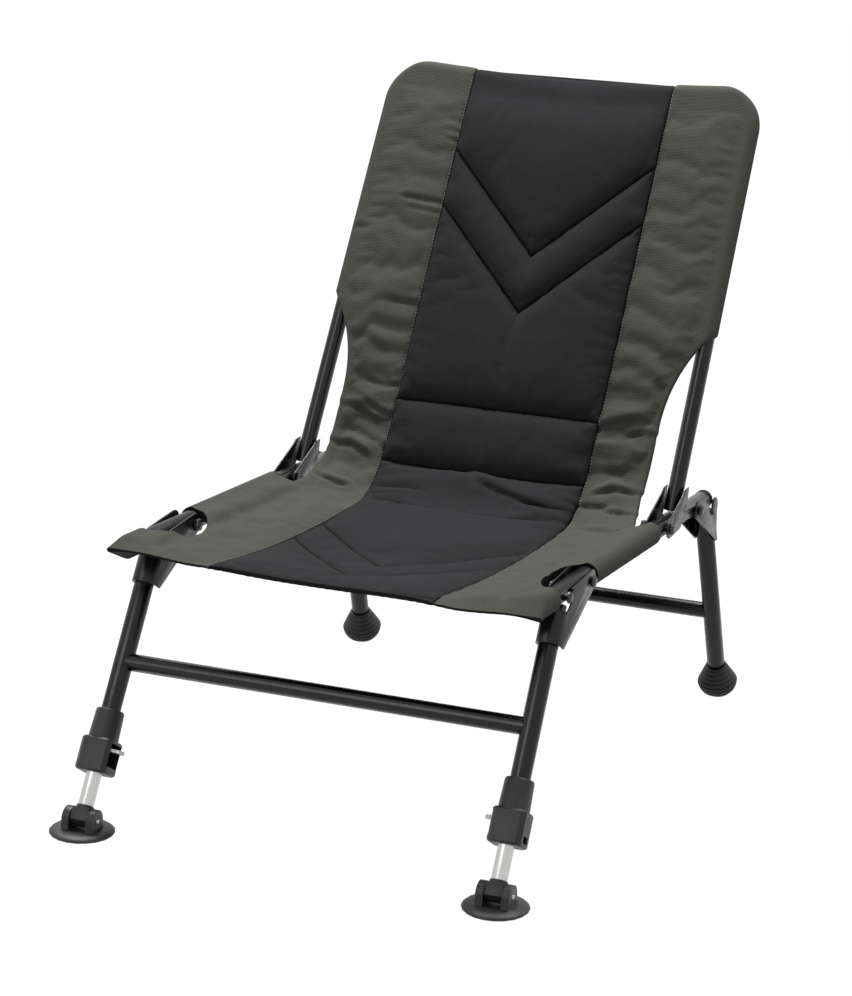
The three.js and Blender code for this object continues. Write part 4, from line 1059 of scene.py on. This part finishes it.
# %% [markdown]
# ## Openings for the tubes and brackets
# The sleeves are hollow where the rails run, up to their closed front ends, and a half-round
# window in each sleeve lets the leg bracket through, a wide one on the left and a narrow one on
# the right. Its edge is bound in black. Faces could be deleted one by one, but a cut with a solid
# tool leaves a clean edge, and the new walls take the tool's own cloth.

# %% Cut the openings
RAIL_SPACE = 11.6  # radius
RAIL_SPACE_FROM, RAIL_SPACE_TO = -419.3, 20.0
WINDOW_FROM, WINDOW_TO = -384.0, -262.0
WINDOW_INSETS = {-1: 39.0, 1: 22.0}
WINDOW_SIDES, WINDOW_HEIGHT, WINDOW_OUTSIDE = 56, 0.12, 0.04  # a count, and two sizes in metres


def cut_out(piece, tool):
    """Cuts a tool out of a piece. The new faces keep the tool's material."""
    make_active(piece)
    cut = piece.modifiers.new("cut", "BOOLEAN")
    cut.operation, cut.solver, cut.object = "DIFFERENCE", "EXACT", tool
    cut.material_mode = "TRANSFER"
    bpy.ops.object.modifier_apply(modifier=cut.name)
    bpy.data.objects.remove(tool)


def rail_space(middle):
    """A bar where the rail runs inside its sleeve."""
    start, end = (Vector(middle + rail_dir * along) / 1000 for along in (RAIL_SPACE_FROM, RAIL_SPACE_TO))
    select_none()
    length = (end - start).length
    bpy.ops.mesh.primitive_cylinder_add(vertices=40, radius=RAIL_SPACE / 1000, depth=length)
    bar = bpy.context.object
    turn = (end - start).to_track_quat("Z", "Y").to_matrix().to_4x4()
    bar.matrix_world = Matrix.Translation((start + end) / 2) @ turn
    bpy.ops.object.transform_apply(location=True, rotation=True, scale=True)
    bar.data.materials.append(cloths[LINING])
    return bar


def rail_window(middle, side):
    """A flat-sided oval block, whose round side faces the sitter."""
    select_none()
    bpy.ops.mesh.primitive_cylinder_add(vertices=WINDOW_SIDES, radius=1, depth=1)
    window = bpy.context.object
    window.scale = (WINDOW_INSETS[side] / 1000, (WINDOW_TO - WINDOW_FROM) / 2000, WINDOW_HEIGHT)
    window.location = Vector(middle + rail_dir * (WINDOW_FROM + WINDOW_TO) / 2) / 1000
    window.rotation_euler = (-RAIL_FALL, 0, 0)
    bpy.ops.object.transform_apply(location=True, rotation=True, scale=True)
    for vertex in window.data.vertices:
        off = side * vertex.co.x - RAIL_X / 1000
        vertex.co.x = side * (RAIL_X / 1000 + (WINDOW_OUTSIDE if off > 1e-5 else off))
    window.data.materials.append(cloths[BINDING])
    return window


for side in (-1, 1):
    middle = pivot + np.array([side * RAIL_X, 0, 0])
    cut_out(cover, rail_space(middle))
    cut_out(cover, rail_window(middle, side))
print(len(cover.data.polygons), "faces after the cuts")
make_active(cover)
bpy.ops.object.shade_smooth_by_angle(angle=math.radians(50))

# %% [markdown]
# ## Stitches
# A stitch is a small bead of thread, longer than wide. A thread could be drawn in the material,
# but a real bead catches the light at the edge of a seam. One is modelled, and a copy is set
# every few millimetres along each sewn line, half sunk in the groove. Blender makes the faces of
# a sphere in another order each time, so they are sorted.

# %% Sew the lines
STITCH_PITCH, STITCH_LENGTH, STITCH_WIDTH, STITCH_RISE = 4.3, 2.9, 1.1, 0.15
directions = outward(upper)


def one_stitch():
    """The vertices and faces of one stitch, along X, in millimetres."""
    select_none()
    bpy.ops.mesh.primitive_uv_sphere_add(segments=6, ring_count=4, radius=0.5, rotation=(0, math.pi / 2, 0))
    bead = bpy.context.object
    bead.scale = (STITCH_WIDTH, STITCH_WIDTH, STITCH_LENGTH)
    bpy.ops.object.transform_apply(location=True, rotation=True, scale=True)
    shape = vertex_places(bead.data)
    faces = sorted(list(p.vertices) for p in bead.data.polygons)
    bpy.data.objects.remove(bead)
    return shape, faces


def along_path(values, length, at):
    """Values of a path, read at distances along it."""
    return np.stack([np.interp(at, length, values[:, k]) for k in range(3)], -1)


def sew(name, lines, thread):
    """One mesh with stitches along lines, each a pair of row numbers and column numbers."""
    shape, faces = one_stitch()
    places = []
    for rows, columns in lines:
        path, out = upper[rows, columns], directions[rows, columns]
        length = np.concatenate([[0], np.cumsum(np.linalg.norm(np.diff(path, axis=0), axis=1))])
        at = np.arange(STITCH_PITCH, length[-1] - STITCH_PITCH / 2, STITCH_PITCH)
        centre = along_path(path, length, at)
        ahead = along_path(path, length, at + 1) - centre
        up = along_path(out, length, at)
        ahead /= np.linalg.norm(ahead, axis=1, keepdims=True)
        up /= np.linalg.norm(up, axis=1, keepdims=True)
        centre = centre + up * STITCH_WIDTH * STITCH_RISE
        beside = np.cross(up, ahead)
        frames = np.stack([ahead, beside, up], 1)
        places.append(centre[:, None] + np.einsum("vk,skj->svj", shape, frames))
    vertices = np.concatenate(places)
    all_faces = [[k * len(shape) + i for i in face] for k in range(len(vertices)) for face in faces]
    mesh = bpy.data.meshes.new(name)
    mesh.from_pydata((vertices.reshape(-1, 3) / 1000).tolist(), [], all_faces)
    piece = bpy.data.objects.new(name, mesh)
    bpy.context.scene.collection.objects.link(piece)
    make_active(piece)
    bpy.ops.object.shade_smooth()
    mesh.materials.append(thread)
    print(name, "has", len(vertices), "stitches")
    return piece


BESIDE_SEAM = 2  # columns from the seam to its row of stitches
middle_column = upper.shape[1] // 2
seam_column = len(fine_columns[0])
first_back = len(seat_rows) + len(bend_rows)
all_rows = np.arange(2, len(upper) - 8)
across_pad = np.arange(middle_column - seam_column + 1, middle_column + seam_column)
beside = [middle_column + side * (seam_column + BESIDE_SEAM) for side in (-1, 1)]
seam_lines = [(all_rows, np.full(len(all_rows), number)) for number in beside]
sewn_rows = [seat_sewn[1] - 1, *seat_sewn[2:4], len(seat_rows) + len(bend_low) - 1]
sewn_rows += [first_back + number for number in back_sewn[1:4]]
pad_lines = [(np.full(len(across_pad), number), across_pad) for number in sewn_rows]


def thread_material(name, colour):
    """Twisted thread, spotted dark and pale."""
    material, shader = start_material(name, colour, 0.7, Specular_IOR_Level=0.25)
    twist = noise(material, object_place(material), 2500, detail=2)
    vary(material, shader, "Base Color", twist, colour, (0.35, 0.6), (0.7, 1.5))
    bump(material, shader, twist, 0.4, 0.0002)
    return material


sewing = [
    sew("seam_stitches", seam_lines, thread_material("olive_thread", (0.2, 0.2, 0.17))),
    sew("pad_stitches", pad_lines, thread_material("charcoal_thread", (0.018, 0.018, 0.02))),
]

# %% [markdown]
# ## Rings of the rear feet
# Each rear leg stands in a moulded rubber foot with fine rings, cut level with the floor. Rings
# painted as relief would leave the outline smooth, and the photograph shows them there too. So an
# outline is turned round the leg: up the outside ring by ring, and down again inside the socket.

# %% Turn the rear feet
FOOT_WIDE, FOOT_WAIST, FOOT_TOP, FOOT_NECK = 25.0, 21.0, 44.0, 13.2
SOCKET, SOCKET_FLOOR = 11.2, 10.5
RINGS, RING_DEPTH, RING_WIDTH = 9, 1.7, 0.14
FOOT_ROWS, FOOT_SIDES = 100, 56


def foot_radius(height):
    """Radius of the foot: a bowl up to its widest place and a cone above, less the grooves."""
    bowl = FOOT_WIDE * np.sqrt(1 - np.clip((FOOT_WAIST - height) / (FOOT_WAIST + 1), 0, 1) ** 2)
    cone = lerp(FOOT_WIDE, FOOT_NECK, np.clip((height - FOOT_WAIST) / (FOOT_TOP - FOOT_WAIST), 0, 1))
    place = (height * RINGS / FOOT_TOP) % 1
    groove = RING_DEPTH * hump(place - 0.5, RING_WIDTH) * smooth(height, 1, 5)
    return np.minimum(bowl, cone) - groove


def node_points(node):
    """Corners of a CAD node in millimetres."""
    return vertex_places(frame["nodes"][node].data) * 1000


def leg_line(node):
    """Middle and upward direction of a tube."""
    points = node_points(node)
    middle = points.mean(0)
    along = np.linalg.svd(points - middle, full_matrices=False)[2][0]
    return middle, along * np.sign(along[2])


def turned_foot(side):
    """One foot, its rows of points going up the outside and down into the socket."""
    middle, axis = leg_line("rear_leg_" + side)
    top = ((node_points("rubber_foot_" + side) - middle) @ axis).max()
    low = middle + axis * (top - FOOT_TOP)
    beside = np.cross(axis, (1, 0, 0))
    beside /= np.linalg.norm(beside)
    rising = np.linspace(0, FOOT_TOP, FOOT_ROWS)
    heights = np.concatenate([[0], rising, [FOOT_TOP, SOCKET_FLOOR, SOCKET_FLOOR]])
    radii = np.concatenate([[0], foot_radius(rising), [SOCKET, SOCKET, 0]])
    turns = np.linspace(0, 2 * math.pi, FOOT_SIDES + 1)
    round_leg = np.outer(np.cos(turns), np.cross(beside, axis)) + np.outer(np.sin(turns), beside)
    surface = low + heights[:, None, None] * axis + radii[:, None, None] * round_leg
    surface[:, :, 2] = np.maximum(surface[:, :, 2], 0)
    piece, _, _ = grid_mesh("turned_foot_" + side, surface)
    weld(piece, MERGED)
    bpy.ops.mesh.normals_make_consistent(inside=False)
    bpy.ops.object.mode_set(mode="OBJECT")
    bpy.ops.object.shade_smooth_by_angle(angle=math.radians(60))
    piece.data.materials.append(finishes["black_rubber"])
    node = "rubber_foot_" + side
    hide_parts(node)
    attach(piece, body_of(frame["nodes"][node])[0])
    print(piece.name, "leans", round(math.degrees(math.acos(axis[2])), 1), "degrees")


for side in ("left", "right"):
    turned_foot(side)

# %% [markdown]
# ## Springs of the leg locks
# A lock plate that is tilted to free the leg presses its spring together. Here each spring only
# gets a mesh of its own, and the leg's direction and the coil's corners are read; the coil keeps its shape.

# %% Give the springs meshes of their own
for side in ("left", "right"):
    _, along = leg_line("inner_leg_" + side)
    spring = softened_pieces["lock_spring_" + side]
    coil = vertex_places(spring.data)
    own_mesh(spring)

# %% [markdown]
# ## Tying the cover to the frame
# The cloth follows the rails in front of the hinge and the backrest above it, and turns smoothly
# in between. The stitches do the same.

# %% Ride between the seat frame and the backrest, and hide the CAD cover
BLEND_BEFORE, BLEND_BELOW = 30, 18  # from the hinge to where the cloth starts to turn
bend_start = tuple((pivot - rail_dir * BLEND_BEFORE - rail_up * BLEND_BELOW) / 1000)
bend_stop = tuple((back_base + back_dir * BACK_LOW) / 1000)
for piece in [cover, *sewing]:
    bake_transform(piece, "seat_frame", "backrest", start=bend_start, end=bend_stop)
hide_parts("seat_cover", "waist_cover", "back_cover")
print("cover tied to the seat frame and the backrest")

# %% [markdown]
# ## Floor and light
# A white floor, two soft lights above and one in front, as in a studio. White could also come
# from more light, but that would bleach the cloth. So the floor and the world look white to the
# camera and in reflections, and light the chair only at a plain level.

# %% Stage
WORLD_LIGHT, FLOOR_SHOW, FLOOR_GLOW = 0.27, 0.88, 1.12


def seen_or_mirrored(material):
    """1 for rays from the camera, a mirror or glass, and 0 for rays that only carry light."""
    path = add_node(material, "ShaderNodeLightPath")
    shown = maths(material, "MAXIMUM", path.outputs["Is Camera Ray"], path.outputs["Is Glossy Ray"])
    return maths(material, "MAXIMUM", shown, path.outputs["Is Transmission Ray"])


def add_floor():
    """A wide floor that glows for the camera and still shows the chair's shadow."""
    select_none()
    bpy.ops.mesh.primitive_plane_add(size=24)
    floor = bpy.context.object
    floor.name = "floor"
    material, shader = start_material("floor_white", (0.5, 0.5, 0.5), 0.9)
    glow = add_node(material, "ShaderNodeEmission", Strength=FLOOR_GLOW)
    both = material.node_tree.nodes.new("ShaderNodeMixShader")
    share_shown = maths(material, "MULTIPLY", seen_or_mirrored(material), FLOOR_SHOW)
    link(material, share_shown, both.inputs["Fac"])
    link(material, shader.outputs["BSDF"], both.inputs[1])
    link(material, glow.outputs["Emission"], both.inputs[2])
    link(material, both.outputs["Shader"], material.node_tree.nodes["Material Output"].inputs["Surface"])
    floor.data.materials.append(material)


def area_light(name, place, aim, size, power):
    """A soft square light at a place, turned to a point."""
    select_none()
    bpy.ops.object.light_add(type="AREA")
    light = bpy.context.object
    light.name = name
    light.data.size = size
    light.data.energy = power
    place, aim = Vector(place), Vector(aim)
    turn = (aim - place).to_track_quat("-Z", "Y").to_matrix().to_4x4()
    light.matrix_world = Matrix.Translation(place) @ turn


add_floor()
area_light("key", (-1.2, 0.8, 3.2), (0, 0, 0.4), 1.0, 108)
area_light("fill", (-1.0, -3.0, 1.9), (0, 0, 0.4), 1.6, 26)
area_light("top", (0.7, 1.0, 3.1), (0, 0, 0.3), 1.2, 70)
world = bpy.context.scene.world or bpy.data.worlds.new("studio")
bpy.context.scene.world = world
world.use_nodes = True
background = world.node_tree.nodes["Background"]
background.inputs["Color"].default_value = (1, 1, 1, 1)
lift = maths(world, "MULTIPLY", seen_or_mirrored(world), 1 - WORLD_LIGHT)
link(world, maths(world, "ADD", lift, WORLD_LIGHT), background.inputs["Strength"])
bpy.context.scene.view_settings.view_transform = "Standard"
print("stage set")
